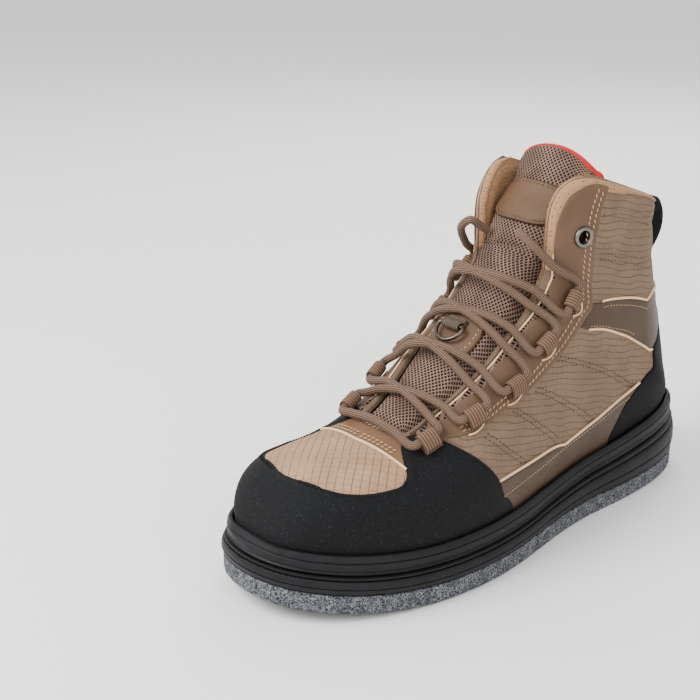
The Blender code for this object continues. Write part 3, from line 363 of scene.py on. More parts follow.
INSTEP_HEIGHT = 0.086
SHAFT_RISE = 0.100
SHAFT_WIDTH = 0.084
OVERLAY = 0.0014
OVERLAY_GAP = 0.0006
WALL = 0.0024
COLLAR_WALL = 0.0072
K_THROAT = 0.335
K_HEEL = 0.800
UPPER_SECTIONS = (
    # k, low along, low level, high along, high level, lateral, medial, widest at, roundness, heel
    (0.000, 0.9774, 0.000, 0.9774, 0.000, 0.000, 0.000, 0.50, 2.00, 1.00),
    (0.025, 0.971, 0.000, 0.974, 0.095, 0.100, 0.109, 0.55, 2.20, 1.00),
    (0.060, 0.959, 0.000, 0.962, 0.231, 0.175, 0.188, 0.50, 2.40, 1.00),
    (0.110, 0.936, 0.000, 0.934, 0.383, 0.254, 0.266, 0.44, 2.50, 1.00),
    (0.170, 0.893, 0.000, 0.887, 0.496, 0.334, 0.345, 0.38, 2.40, 1.00),
    (0.240, 0.827, 0.000, 0.818, 0.552, 0.404, 0.402, 0.34, 2.20, 1.00),
    (0.310, 0.758, 0.000, 0.752, 0.607, 0.442, 0.418, 0.28, 2.05, 1.00),
    (0.375, 0.695, 0.000, 0.695, 0.698, 0.454, 0.410, 0.27, 2.10, 1.00),
    (0.440, 0.626, 0.000, 0.638, 0.837, 0.453, 0.396, 0.26, 2.20, 1.00),
    (0.510, 0.538, 0.000, 0.585, 1.000, 0.466, 0.421, 0.26, 2.40, 1.00),
    (0.580, 0.431, 0.000, 0.538, 1.129, 0.508, 0.466, 0.27, 2.50, 1.00),
    (0.650, 0.305, 0.000, 0.503, 1.246, 0.546, 0.511, 0.30, 2.60, 1.00),
    (0.710, 0.186, 0.000, 0.484, 1.343, 0.536, 0.512, 0.33, 2.70, 1.00),
    (0.755, 0.097, 0.000, 0.475, 1.417, 0.524, 0.500, 0.35, 2.80, 1.00),
    (0.785, 0.044, 0.000, 0.472, 1.466, 0.512, 0.488, 0.36, 2.80, 1.00),
    (0.800, 0.0226, 0.000, 0.472, 1.491, 0.512, 0.488, 0.36, 2.80, 1.00),
    (0.845, 0.030, 0.281, 0.472, 1.576, 0.500, 0.476, 0.37, 2.80, 0.85),
    (0.890, 0.053, 0.664, 0.472, 1.671, 0.500, 0.476, 0.36, 2.80, 0.70),
    (0.930, 0.074, 0.997, 0.469, 1.780, 0.500, 0.476, 0.35, 2.80, 0.62),
    (0.965, 0.088, 1.260, 0.456, 1.878, 0.500, 0.476, 0.34, 2.80, 0.60),
    (1.000, 0.097, 1.482, 0.431, 1.982, 0.512, 0.488, 0.34, 2.80, 0.60),
)


def column(table, index):
    return [row[index] for row in table]


FOOT_STEPS = 4000
FOOT_TABLE = {side: np.interp(np.linspace(TOE[1], HEEL[1], FOOT_STEPS + 1), FOOT_LINE[side][:, 1],
                              FOOT_LINE[side][:, 0]).tolist() for side in (1, -1)}


def foot_line(y, side):
    at = min(max((y - TOE[1]) / (HEEL[1] - TOE[1]), 0.0), 1.0) * FOOT_STEPS
    i = min(int(at), FOOT_STEPS - 1)
    return FOOT_TABLE[side][i] + (FOOT_TABLE[side][i + 1] - FOOT_TABLE[side][i]) * (at - i)


def level_height(level):
    return INSTEP_HEIGHT * min(level, 1.0) + SHAFT_RISE * max(level - 1.0, 0.0)


def section_row(k):
    keys = column(UPPER_SECTIONS, 0)
    row = [float(hermite(keys, column(UPPER_SECTIONS, i), k)) for i in range(1, 10)]
    low_along, low_level, high_along, high_level, lateral, medial, widest, roundness, heel = row
    low_y = SOLE_LENGTH * (0.5 - low_along)
    if k <= K_HEEL:
        low_y = min(max(low_y, TOE[1]), HEEL[1])
        low_level = 0.0
    low_z = float(platform(min(low_y, HEEL[1]))) + GAP + level_height(max(low_level, 0.0))
    high_y = SOLE_LENGTH * (0.5 - high_along)
    high_z = float(platform(high_y)) + GAP + level_height(max(high_level, 0.0))
    girth = BALL_WIDTH + (SHAFT_WIDTH - BALL_WIDTH) * float(smooth(0.42, 0.66, k))
    return low_y, low_z, high_y, high_z, lateral * girth, medial * girth, widest, roundness, heel


K_STEPS = 2000
SECTION_TABLE = [section_row(n / K_STEPS) for n in range(K_STEPS + 1)]


@functools.lru_cache(maxsize=None)
def section(k):
    """The form's measures at k: low and high points, half widths by side, and the section's shape."""
    at = min(max(k, 0.0), 1.0) * K_STEPS
    i = min(int(at), K_STEPS - 1)
    row = [a + (b - a) * (at - i) for a, b in zip(SECTION_TABLE[i], SECTION_TABLE[i + 1])]
    return row[0], row[1], row[2], row[3], {1: row[4], -1: row[5]}, row[6], row[7], row[8]


@functools.lru_cache(maxsize=None)
def middle_x(k):
    return TOE[0] + (HEEL[0] - TOE[0]) * float(smooth(0.05, 0.60, k))


@functools.lru_cache(maxsize=400000)
def surface(k, v, side):
    """Point of the upper's outer form."""
    low_y, low_z, high_y, high_z, half, widest, roundness, heel = section(k)
    if k <= 0:
        return np.array([TOE[0], TOE[1], low_z])
    centre = middle_x(k)
    if v < 0.5:
        rise = widest * (2 * v) ** (1 + float(smooth(0.70, 0.80, k)))
        y = low_y + (high_y - low_y) * rise
        reference = HEEL[1] if k > K_HEEL else low_y
        base = (foot_line(reference - (low_y - y) * heel, side) - centre) * side
        base_at_widest = (foot_line(reference - (low_y - high_y) * widest * heel, side) - centre) * side
        lean = (half[side] - base_at_widest) * float(smooth(0, widest, rise))
        x = centre + side * max(base + lean, 0.0)
    else:
        turn = (v - 0.5) * math.pi
        x = centre + side * half[side] * max(math.cos(turn), 0.0) ** (2 / roundness)
        rise = widest + (1 - widest) * math.sin(turn) ** (2 / roundness)
    if v >= 1 or (v <= 0 and k >= K_HEEL):
        x = centre
    return np.array([x, low_y + (high_y - low_y) * rise, low_z + (high_z - low_z) * rise])


@functools.lru_cache(maxsize=400000)
def normal(k, v, side):
    k0, k1 = max(k - 0.002, 0.001), min(k + 0.002, 1.0)
    along = surface(k1, v, side) - surface(k0, v, side)
    if v >= 1 or (v <= 0 and k >= K_HEEL):
        turned = np.array([0.0, along[2], -along[1]])
        turned = -turned if v >= 1 else turned
    else:
        across = surface(k, min(v + 0.004, 1.0), side) - surface(k, max(v - 0.004, 0.0), side)
        turned = np.cross(along, across) * side
        if v <= 0:
            turned[2] = 0.0
    return turned / np.linalg.norm(turned)


def skin(k, v, side, depth):
    """Point at a depth under the form; a negative depth stands out from it."""
    if k <= 0:
        return surface(0, 0, 1) + np.array([0, depth, 0])
    point = surface(k, v, side) - normal(k, v, side) * depth
    if v <= 0 and k < K_HEEL:
        point[2] = float(platform(point[1])) + GAP
    return point


def lining_depth(k, v, side):
    _, y, z = surface(k, v, side)
    high = float(smooth(0.55 * INSTEP_HEIGHT, 1.10 * INSTEP_HEIGHT, z - float(platform(y))))
    padding = (COLLAR_WALL - WALL) * high * float(smooth(0.62, 0.76, k))
    return OVERLAY + OVERLAY_GAP + WALL + padding


def rim_contour(height, outward):
    halves = {1: [], -1: []}
    front, back = tuple(TOE), tuple(HEEL)
    for k in np.r_[np.linspace(0.004, 0.78, 150), np.linspace(0.784, K_HEEL + 0.045, 70)]:
        k = float(k)
        low_y, low_z, high_y, high_z = section(k)[:4]
        if low_z - float(platform(low_y)) - GAP > height:
            back = (HEEL[0], low_y)
            break
        if high_z - float(platform(high_y)) - GAP < height:
            front = (middle_x(k), high_y)
            continue
        for side in (1, -1):
            steps = [surface(k, float(v), side) for v in np.linspace(0, 1, 41) ** 1.5]
            over = [point[2] - float(platform(point[1])) - GAP for point in steps]
            halves[side].append([float(np.interp(height, over, [point[axis] for point in steps]))
                                 for axis in (0, 1)])
    return moved_inward(np.array([front] + halves[1] + [back] + halves[-1][::-1]), -outward)


def raised(share):
    return lambda y: platform(y) + RIM_HEIGHT * share


sole_rings = [loop_of(outline(inset), lambda y, s=share: ground(y) + FELT + wedge(y) * s)
              for share, inset in SOLE_PROFILE]
foxing_low, foxing_high = outline(0.0028), rim_contour(RIM_HEIGHT, 0.0028)
low_ring, high_ring = loop_of(foxing_low, raised(0.05)), loop_of(foxing_high, raised(0.86))
foxing = ((0.0, 0.0), (0.10, -0.0004), (0.55, -0.0009), (0.62, -0.0006), (0.65, -0.0001), (0.69, -0.0002),
          (0.72, -0.0007), (0.90, -0.0006), (1.0, 0.0))
for share, bulge in foxing:
    ring = low_ring + (high_ring - low_ring) * share
    ring[:, :2] = moved_inward(ring[:, :2], bulge)
    sole_rings.append(ring)
for share, outward in ((0.95, 0.0026), (1.0, 0.0018), (1.0, 0.0011), (0.94, 0.0006), (0.5, 0.0005)):
    sole_rings.append(loop_of(rim_contour(RIM_HEIGHT * max(share, 0.5), outward), raised(share)))
sole_rings.append(loop_of(outline(FLANGE - CUP_GAP), platform))
sole_rings = [spine_of(sole_rings[0])] + sole_rings + [spine_of(sole_rings[-1])]


def metres(tree):
    """Sockets for the two directions of the cloth's UV map, in metres."""
    where = add(tree, "TexCoord", (), "UV")
    return [add(tree, "SeparateXYZ", (where,), axis) for axis in "XY"]


def clouded(tree, size, low, high, first, second, to=None):
    """Two colours in soft patches about size metres across, as handling and dust leave them."""
    where = add(tree, "TexCoord", (), "Object")
    patches = add(tree, "TexNoise", {"Vector": where, "Scale": 1 / size, "Detail": 3.0})
    share = add(tree, "MapRange", (patches, low, high), interpolation_type="SMOOTHSTEP")
    return add(tree, "Mix", {0: share, 6: first, 7: second}, 2, to, data_type="RGBA")


def ridges(tree, place, reach):
    """Even ridges from 0 in a valley to 1 on a crest, reach metres apart."""
    swing = add(tree, "Math", (place, reach), operation="PINGPONG")
    return add(tree, "Math", (swing, 1 / reach), operation="MULTIPLY")


# Black with a faint dusty bloom, fine pebbles from the mould, and teeth along the ledge.
rubber_made, tree, shader = material("moulded_black_rubber", None, 0.55, Specular_IOR_Level=0.22)
clouded(tree, 0.012, 0.35, 0.75, "#0b0c0e", "#111215", shader.inputs["Base Color"])
around, up = metres(tree)
low_side = add(tree, "MapRange", (up, 0.0110, 0.0118), interpolation_type="SMOOTHSTEP")
high_side = add(tree, "MapRange", (up, 0.0142, 0.0150, 1.0, 0.0), interpolation_type="SMOOTHSTEP")
ledge = add(tree, "Math", (low_side, high_side), operation="MULTIPLY")
teeth = add(tree, "Math", (ledge, ridges(tree, around, TOOTH)), operation="MULTIPLY")
pebble = grained(tree, shader, 0.0006, 0.00012, 0.35)
add(tree, "Bump", {"Height": teeth, "Distance": 0.0006, "Strength": 1.0, "Normal": pebble}, 0,
    shader.inputs["Normal"])
midsole = show("rubber_midsole", loft(sole_rings), rubber_made)
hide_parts("midsole")


def turn(bm, centre, axis, radial, profile, steps, closed=False):
    """Spin a profile of (radius, height) about an axis."""
    verts = [bm.verts.new(centre + radial * radius + axis * height) for radius, height in profile]
    ends = verts[1:] + verts[:1] if closed else verts[1:]
    edges = [bm.edges.new(pair) for pair in zip(verts, ends)]
    bmesh.ops.spin(bm, geom=verts + edges, cent=centre, axis=axis, angle=2 * math.pi, steps=steps,
                   use_merge=True)


bm = bmesh.new()
lateral_edge, medial_edge = split_sides(outline(0))[1], split_sides(outline(0))[-1]
for from_toe, in_lateral, in_medial in STUDS:
    y = SOLE_LENGTH * (from_toe - 0.5)
    left = float(np.interp(y, lateral_edge[:, 1], lateral_edge[:, 0]))
    right = float(np.interp(y, medial_edge[:, 1], medial_edge[:, 0]))
    for share, start, stop in ((in_lateral, left, right), (in_medial, right, left)):
        if share:
            foot = Vector((start + (stop - start) * share, y, float(ground(y)) + STUD_SINK))
            turn(bm, foot, Vector((0, 0, 1)), Vector((1, 0, 0)), BOSS_PROFILE, 28)
studs = show("stud_bosses", bm, rubber_made, out=lambda point: Vector((0, 0, -1)))

# Fabric skin of the upper
# Tan ripstop nylon, with a dark grid of thicker threads, sewn over thin foam. On the quarters four
# double rows of stitching slant down towards the heel and two more run round the collar, and the foam
# swells a little between them.

SKIN = 0.0014
ROW_DIP = 0.0007
QUILT_SWELL = 0.0006
THROAT_EDGE = (
    # k, lateral, medial
    (0.335, 1.000, 1.000), (0.339, 0.960, 0.960), (0.346, 0.920, 0.925), (0.360, 0.905, 0.905),
    (0.400, 0.897, 0.900), (0.463, 0.878, 0.880), (0.526, 0.857, 0.860), (0.589, 0.848, 0.850),
    (0.646, 0.832, 0.835), (0.703, 0.825, 0.815), (0.766, 0.812, 0.790), (0.850, 0.800, 0.770),
    (0.913, 0.795, 0.765), (0.946, 0.790, 0.755), (0.973, 0.775, 0.735), (0.988, 0.745, 0.705),
    (1.000, 0.690, 0.650),
)
QUILTING = (
    # rows of (k, v) on each side, from the eyestay backwards
    ((0.665, 0.655), (0.690, 0.61), (0.720, 0.55), (0.750, 0.475)),
    ((0.595, 0.650), (0.615, 0.61), (0.637, 0.555), (0.662, 0.495)),
    ((0.535, 0.670), (0.555, 0.62), (0.575, 0.57), (0.600, 0.510)),
    ((0.460, 0.700), (0.478, 0.645), (0.500, 0.585), (0.530, 0.525)),
    ((0.962, 0.615), (0.970, 0.53), (0.975, 0.41), (0.978, 0.20), (0.979, 0.0)),
    ((0.903, 0.615), (0.922, 0.53), (0.943, 0.37), (0.950, 0.18), (0.952, 0.0)),
)


def throat_edge(k, side):
    if k < K_THROAT:
        return 1.0
    return float(np.interp(k, column(THROAT_EDGE, 0), column(THROAT_EDGE, 1 if side > 0 else 2)))


def curve_of(points, count):
    """A smooth run of (k, v) through the points, even in length over the form."""
    points = np.array(points, float)
    steps = np.hypot(np.diff(points[:, 0]) * 0.32, np.diff(points[:, 1]) * 0.17)
    keys = np.r_[0, np.cumsum(np.sqrt(steps))]
    fine = np.linspace(0, keys[-1], 400)
    run = np.c_[hermite(keys, points[:, 0], fine), hermite(keys, points[:, 1], fine)]
    length = np.r_[0, np.cumsum(np.hypot(np.diff(run[:, 0]) * 0.32, np.diff(run[:, 1]) * 0.17))]
    at = np.linspace(0, length[-1], count)
    return np.c_[np.interp(at, length, run[:, 0]), np.interp(at, length, run[:, 1])]


def tree_of(points):
    found = KDTree(len(points))
    for i, point in enumerate(points):
        found.insert(point, i)
    found.balance()
    return found


def line_on(points, side, count=120, depth=0.0):
    return [Vector(skin(float(k), float(v), side, depth)) for k, v in curve_of(points, count)]


def rim_path(side):
    """The upper's free edge on one side, from the back seam round the collar and down the throat."""
    points = [(1.0, v) for v in np.linspace(0, 0.56, 9)]
    points += [(1.0, throat_edge(1.0, side) - 0.06), (0.9975, throat_edge(0.9975, side) - 0.012)]
    points += [(k, throat_edge(k, side)) for k in column(THROAT_EDGE, 0)[-2::-1]]
    return points


RIM = {side: curve_of(rim_path(side), 300) for side in (1, -1)}
rim_tree = {side: tree_of([Vector(surface(float(k), float(v), side)) for k, v in RIM[side]])
            for side in (1, -1)}
quilt_tree = {side: tree_of([point for row in QUILTING for point in line_on(row, side)]) for side in (1, -1)}


def skin_depth(k, v, side):
    """The skin swells between rows of quilting, and dives under the edge's binding."""
    point = Vector(surface(k, v, side))
    from_row = quilt_tree[side].find(point)[2]
    from_rim = rim_tree[side].find(point)[2]
    depth = SKIN + ROW_DIP * math.exp(-(from_row / 0.0016) ** 2)
    depth -= QUILT_SWELL * (1 - math.exp(-(from_row / 0.007) ** 2))
    start, stop = (0.0010, 0.0030) if k > 0.96 and v < 0.55 else (0.0025, 0.0070)
    return depth + 0.0022 * (1 - float(smooth(start, stop, from_rim)))


TOE_CLOTH_REAR = -0.068


def grain_of_cloth(point):
    """Where a point lies on the cloth: cut on the bias over the toe, along the shoe elsewhere."""
    if point.y < TOE_CLOTH_REAR:
        return ((point.x * 1.12 - point.y) * 0.707, (point.x * 1.12 + point.y) * 0.707)
    turned = math.radians(12)
    return (point.y * math.cos(turned) - point.z * math.sin(turned),
            point.y * math.sin(turned) + point.z * math.cos(turned))


def pour(piece, joined):
    """Add one bmesh to another and free it."""
    mesh = bpy.data.meshes.new("part")
    piece.to_mesh(mesh)
    piece.free()
    joined.from_mesh(mesh)
    bpy.data.meshes.remove(mesh)


def side_sheet(rows, columns, depth_of, uv):
    """Both sides of the form as one mesh, at the depth that depth_of gives."""
    joined = bmesh.new()
    for side in (1, -1):
        def place(i, j):
            k = i / rows
            v = throat_edge(k, side) * (0.5 - 0.5 * math.cos(math.pi * j / columns))
            return skin(k, v, side, depth_of(k, v, side))
        piece = placed_grid(rows, columns, place, lambda i, j, point: uv(point))
        if side < 0:
            bmesh.ops.reverse_faces(piece, faces=piece.faces)
        pour(piece, joined)
    return joined


def from_middle(point):
    """Outward from the middle of the boot, for turning sheets the right way."""
    centre = Vector((0.0, min(max(point.y, -0.10), 0.085), 0.06 + max(point.z - 0.10, 0) * 0.9))
    return point - centre


YARN = 0.00028


def ripstop(name, light, dark, grid, pitch, faint, waver):
    """Fine weave with a grid of thicker dark threads; those across the cloth are fainter, all are broken."""
    made, tree, shader = material(name, None, 0.8, Specular_IOR_Level=0.2)
    x, y = metres(tree)
    where = add(tree, "TexCoord", (), "Object")
    drift = add(tree, "TexNoise", {"Vector": where, "Scale": 1 / 0.018, "Detail": 1.0})
    drift = add(tree, "Math", (drift, waver), operation="MULTIPLY")
    drift = add(tree, "Math", (y, drift), operation="ADD")
    across, along = (add(tree, "Math", (place, pitch / 2), operation="PINGPONG") for place in (x, drift))
    across = add(tree, "MapRange", (across, 0.00010, 0.00030, faint, 0.0), interpolation_type="SMOOTHSTEP")
    along = add(tree, "MapRange", (along, 0.00010, 0.00032, 0.85, 0.0), interpolation_type="SMOOTHSTEP")
    line = add(tree, "Math", (across, along), operation="MAXIMUM")
    worn = add(tree, "TexNoise", {"Vector": where, "Scale": 1 / 0.009})
    worn = add(tree, "MapRange", (worn, 0.30, 0.62, 0.35, 1.0), interpolation_type="SMOOTHSTEP")
    shown = add(tree, "Math", (line, worn), operation="MULTIPLY")
    cloth = clouded(tree, 0.020, 0.3, 0.7, light, dark)
    add(tree, "Mix", {0: shown, 6: cloth, 7: grid}, 2, shader.inputs["Base Color"], data_type="RGBA")
    yarns = [add(tree, "Math", (place, YARN), operation="PINGPONG") for place in (x, y)]
    weave = add(tree, "Math", (add(tree, "Math", yarns, operation="ADD"), 1800.0), operation="MULTIPLY")
    fine = add(tree, "Bump", {"Height": weave, "Distance": 0.00012, "Strength": 0.5})
    add(tree, "Bump", {"Height": line, "Distance": 0.00022, "Strength": 0.8, "Normal": fine}, 0,
        shader.inputs["Normal"])
    return made


# Matt tan with a broken dark grid, close and even on the quarters.
quarter_cloth = ripstop("tan_ripstop_of_quarter", "#75614f", "#6c5847", "#4a3a2e", 0.0036, 0.30, 0.006)
EYELETS = (
    # name, k, v, side, depth of the barrel
    ("collar_eyelet_lateral", 0.919, 0.672, 1, 0.0086),
    ("collar_eyelet_medial", 0.919, 0.648, -1, 0.0086),
    ("drain_eyelet_front", 0.535, 0.300, -1, 0.0038),
    ("drain_eyelet_rear", 0.595, 0.290, -1, 0.0038),
)


def punched(bm, radius=0.0046):
    """Open the eyelets' holes in a sheet; their flanges cover the cut."""
    gone = set()
    places = [(Vector(surface(k, v, side)), Vector(normal(k, v, side))) for _, k, v, side, _ in EYELETS]
    for face in bm.faces:
        middle = face.calc_center_median()
        for centre, axis in places:
            reach = middle - centre
            if reach.length < 0.012 and (reach - axis * reach.dot(axis)).length < radius:
                gone.add(face)
    bmesh.ops.delete(bm, geom=list(gone), context="FACES")


shell = side_sheet(230, 84, skin_depth, grain_of_cloth)
punched(shell)
# The same cloth over the toe, painted paler as a painted highlight where the toe catches the light, and its
# grid wider and on the bias.
lit_toe_cloth = ripstop("tan_ripstop_of_toe_painted_lit", "#a18166", "#94755b", "#58432f", 0.0044, 0.45, 0.001)
# Faces ahead of TOE_CLOTH_REAR take the toe cloth, painted paler as a painted highlight.
for face in shell.faces:
    face.material_index = 1 if face.calc_center_median().y < TOE_CLOTH_REAR else 0
upper_skin = show("fabric_skin", shell, [quarter_cloth, lit_toe_cloth], out=from_middle, wall=0.0006)
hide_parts("upper")

# Lining and padded collar
# Tan spacer mesh over foam lines the ankle, rolls over the collar's edge and is stitched down outside.
# Lower down the same edge is a thin strip of knitted mesh along the throat.

COLLAR_CELL = 0.0021
EDGING_CELL = 0.0015
MESH_REACH = 0.00135


def knitted(name, cell, uneven, low, yarn, pore_shade, rise, **sockets):
    """A knit with small pores painted darker between its raised yarns, as painted shade in the pores."""
    made, tree, shader = material(name, None, 0.9, **sockets)
    where = add(tree, "TexCoord", (), "UV")
    cells = add(tree, "TexVoronoi", {"Vector": where, "Scale": 1 / cell, "Randomness": uneven})
    pores = add(tree, "MapRange", (cells, low, 0.30, 1.0, 0.0), interpolation_type="SMOOTHSTEP")
    add(tree, "Mix", {0: pores, 6: yarn, 7: pore_shade}, 2, shader.inputs["Base Color"], data_type="RGBA")
    add(tree, "Bump", {"Height": cells, "Distance": rise, "Strength": 0.8}, 0, shader.inputs["Normal"])
    return made


# Soft and pale tan, with rounded pores painted a little darker than the yarn: painted shade.
lining_made = knitted("tan_spacer_mesh", COLLAR_CELL, 0.30, 0.10, "#a17c5c", "#6d4d33", 0.00035,
                      Specular_IOR_Level=0.2)
# Brown and closer knit, with pores painted nearly black: painted shade.
trim_made = knitted("knitted_mesh_edging", EDGING_CELL, 0.2, 0.12, "#66503f", "#1c1510", 0.0003)

# Slanting threads with square holes between them, painted near black: the padding that shows through, and
# painted shade in the holes.
mesh_made, tree, shader = material("open_tongue_mesh", None, 0.85, Specular_IOR_Level=0.2)
x, y = metres(tree)
slants = [add(tree, "Math", (x, y), operation=way) for way in ("ADD", "SUBTRACT")]
slants = [add(tree, "Math", (slant, MESH_REACH), operation="PINGPONG") for slant in slants]
thread = add(tree, "Math", slants, operation="MINIMUM")
hole = add(tree, "MapRange", (thread, 0.00040, 0.00056), interpolation_type="SMOOTHSTEP")
yarn = clouded(tree, 0.012, 0.3, 0.7, "#6b5448", "#84695b")
# Holes painted near black: the padding under them, with painted shade.
add(tree, "Mix", {0: hole, 6: yarn, 7: "#120e0b"}, 2, shader.inputs["Base Color"], data_type="RGBA")
add(tree, "Bump", {"Height": hole, "Distance": 0.0006, "Strength": 1.0}, 0, shader.inputs["Normal"])


def lining_sheet_depth(k, v, side):
    from_rim = rim_tree[side].find(Vector(surface(k, v, side)))[2]
    return lining_depth(k, v, side) - 0.0012 * (1 - float(smooth(0.002, 0.006, from_rim)))


inner = side_sheet(110, 44, lining_sheet_depth, lambda point: (point.y, point.z))
punched(inner)
lining = show("inner_lining", inner, lining_made, out=lambda point: -from_middle(point))


def rim_frames():
    """Places along the whole free edge, with the step in k and v that leads 1 m into the upper."""
    frames = []
    for side, order in ((1, 1), (-1, -1)):
        path = RIM[side][::order]
        part = []
        for i in range(len(path)):
            k, v = float(path[i][0]), float(path[i][1])
            ahead, behind = path[min(i + 1, len(path) - 1)], path[max(i - 1, 0)]
            k_in = min(k, 0.997)
            du = (surface(k_in + 0.003, v, side) - surface(k_in - 0.003, v, side)) / 0.006
            dv = (surface(k, min(v + 0.005, 1.0), side) - surface(k, max(v - 0.005, 0.0), side))
            dv = dv / (min(v + 0.005, 1.0) - max(v - 0.005, 0.0))
            run = Vector(du * float(ahead[0] - behind[0]) + dv * float(ahead[1] - behind[1])).normalized()
            inward = run.cross(Vector(normal(k, v, side)))
            toward = Vector(surface(max(k - 0.03, 0.3), max(v - 0.03, 0.0), side) - surface(k, v, side))
            inward = inward if inward.dot(toward) > 0 else -inward
            basis = np.array([du, dv]).T
            step = np.linalg.lstsq(basis, np.array(inward), rcond=None)[0]
            part.append((k, v, side, float(step[0]), float(step[1])))
        frames += part
    return frames


EDGE_FRAMES = rim_frames()
EDGE_PROFILE = (
    # how far in from the free edge the roll has come, outside first, as shares of its width
    1.25, 1.12, 0.98, 0.85, 0.7, 0.5, 0.3, 0.15, 0.04, 0.0, 0.04, 0.15, 0.3, 0.5, 0.7, 0.85, 1.0, 1.3, 1.7,
)
EDGE_CREST = 9


def edge_point(i, j):
    """Point j across the roll at place i of the free edge; the crest is the edge itself."""
    k, v, side, dk, dv = EDGE_FRAMES[i % len(EDGE_FRAMES)]
    depth = lining_depth(k, v, side)
    half = depth / 2 + 0.0003
    flap = float(smooth(0.80, 0.88, k)) * (float(smooth(0.50, 0.66, v)) if k > 0.99 else 1.0)
    top = 1.0 - float(smooth(0.50, 0.66, v)) if k > 0.99 else 0.0
    width = half + 0.0022 * flap + 0.0012 * (1 - top) - 0.0026 * top * (j <= EDGE_CREST)
    share = EDGE_PROFILE[j]
    reach = width * share
    k1, v1 = min(max(k + dk * reach, 0.30), 1.0), min(max(v + dv * reach, 0.0), 1.0)
    rise = math.sqrt(max(1 - (1 - min(share, 1.0)) ** 2, 0.0))
    if j <= EDGE_CREST:
        sunk = half - (half - 0.0002) * rise + 0.0022 * float(smooth(0.62, 1.2, share))
    else:
        sunk = half + (half - 0.0002) * rise
        if share > 1.0:
            sunk = depth + 0.0002 - 0.0008 * (share - 1.0)
    return skin(k1, v1, side, sunk)


edge_steps = [np.linalg.norm(edge_point(i + 1, EDGE_CREST) - edge_point(i, EDGE_CREST))
              for i in range(len(EDGE_FRAMES))]
edge_lengths = np.r_[0, np.cumsum(edge_steps)]
bm = placed_grid(len(EDGE_FRAMES), len(EDGE_PROFILE) - 1, lambda i, j: Vector(edge_point(i, j)),
                 lambda i, j, point: (edge_lengths[i], j * 0.0014))
for face in bm.faces:
    point = face.calc_center_median()
    face.material_index = 0 if point.z > 0.150 or point.y > 0.055 else 1
punched(bm)
collar = show("collar_roll", bm, [lining_made, trim_made], out=lambda point: point - Vector((0, 0.06, 0.10)))

# Leather overlays
# Brown microfibre leather, 1.4 mm thick, cut edges rolled by wear: the eyestays with their flaps, the
# band along the sole, the ankle band, and the lighter piece behind the toe. Sewn over the fabric.


def sheet_on(name, across, up, place, sides, edges, finish, top, roll=0.0010, drop=0.0003, back=0.0011,
             extra=None, uv=None):
    """A sheet on the form; place(s, t, side) gives k and v, and its edges curve down by drop."""
    joined = bmesh.new()
    for side in sides:
        border = tree_of([point for edge in edges for point in line_on(edge, side, 260)])

        def spot(i, j):
            k, v, half = place(i / across, j / up, side)
            point = Vector(surface(k, v, half))
            away = border.find(point)[2]
            curl = 1 - min(away / roll, 1.0)
            depth = top + drop * (1 - math.sqrt(max(1 - curl * curl, 0.0)))
            if extra:
                depth += extra(point, away)
            return skin(k, v, half, depth)
        piece = placed_grid(across, up, spot, lambda i, j, point: uv(point) if uv else (point.y, point.z))
        pour(piece, joined)
    bmesh.ops.remove_doubles(joined, verts=joined.verts, dist=0.00002)
    bmesh.ops.recalc_face_normals(joined, faces=joined.faces)
    punched(joined)
    return show(name, joined, finish, out=from_middle, wall=back)


def between(low, high, count=200):
    """Blend of two runs of (k, v), for sheet_on."""
    lower, upper_run = curve_of(low, count), curve_of(high, count)

    def place(s, t, side):
        at = s * (count - 1)
        i = min(int(at), count - 2)
        share = at - i
        first = lower[i] + (lower[i + 1] - lower[i]) * share
        last = upper_run[i] + (upper_run[i + 1] - upper_run[i]) * share
        k, v = first + (last - first) * t
        return float(k), float(v), side
    return place


LEATHER_PORE = 0.0011


def leather(name, base, worn, roughness=0.52):
    """Microfibre leather: two close browns in clouds, fine pores, and shallow creases."""
    made, tree, shader = material(name, None, roughness, Specular_IOR_Level=0.25)
    clouded(tree, 0.016, 0.30, 0.72, base, worn, shader.inputs["Base Color"])
    where = add(tree, "TexCoord", (), "Object")
    pores = add(tree, "TexVoronoi", {"Vector": where, "Scale": 1 / LEATHER_PORE})
    grain = add(tree, "Bump", {"Height": pores, "Distance": 0.00010, "Strength": 0.35})
    grained(tree, shader, 0.006, 0.0006, 0.30, under=grain)
    return made


# Satin browns: middle on the eyestays, dark on the bands, and lighter behind the toe.
brown_leather = leather("brown_microfibre", "#58412f", "#604836")
band_leather = leather("dark_brown_microfibre", "#3f2f22", "#473628")
vamp_leather = leather("light_brown_microfibre", "#6b4e38", "#73563e")

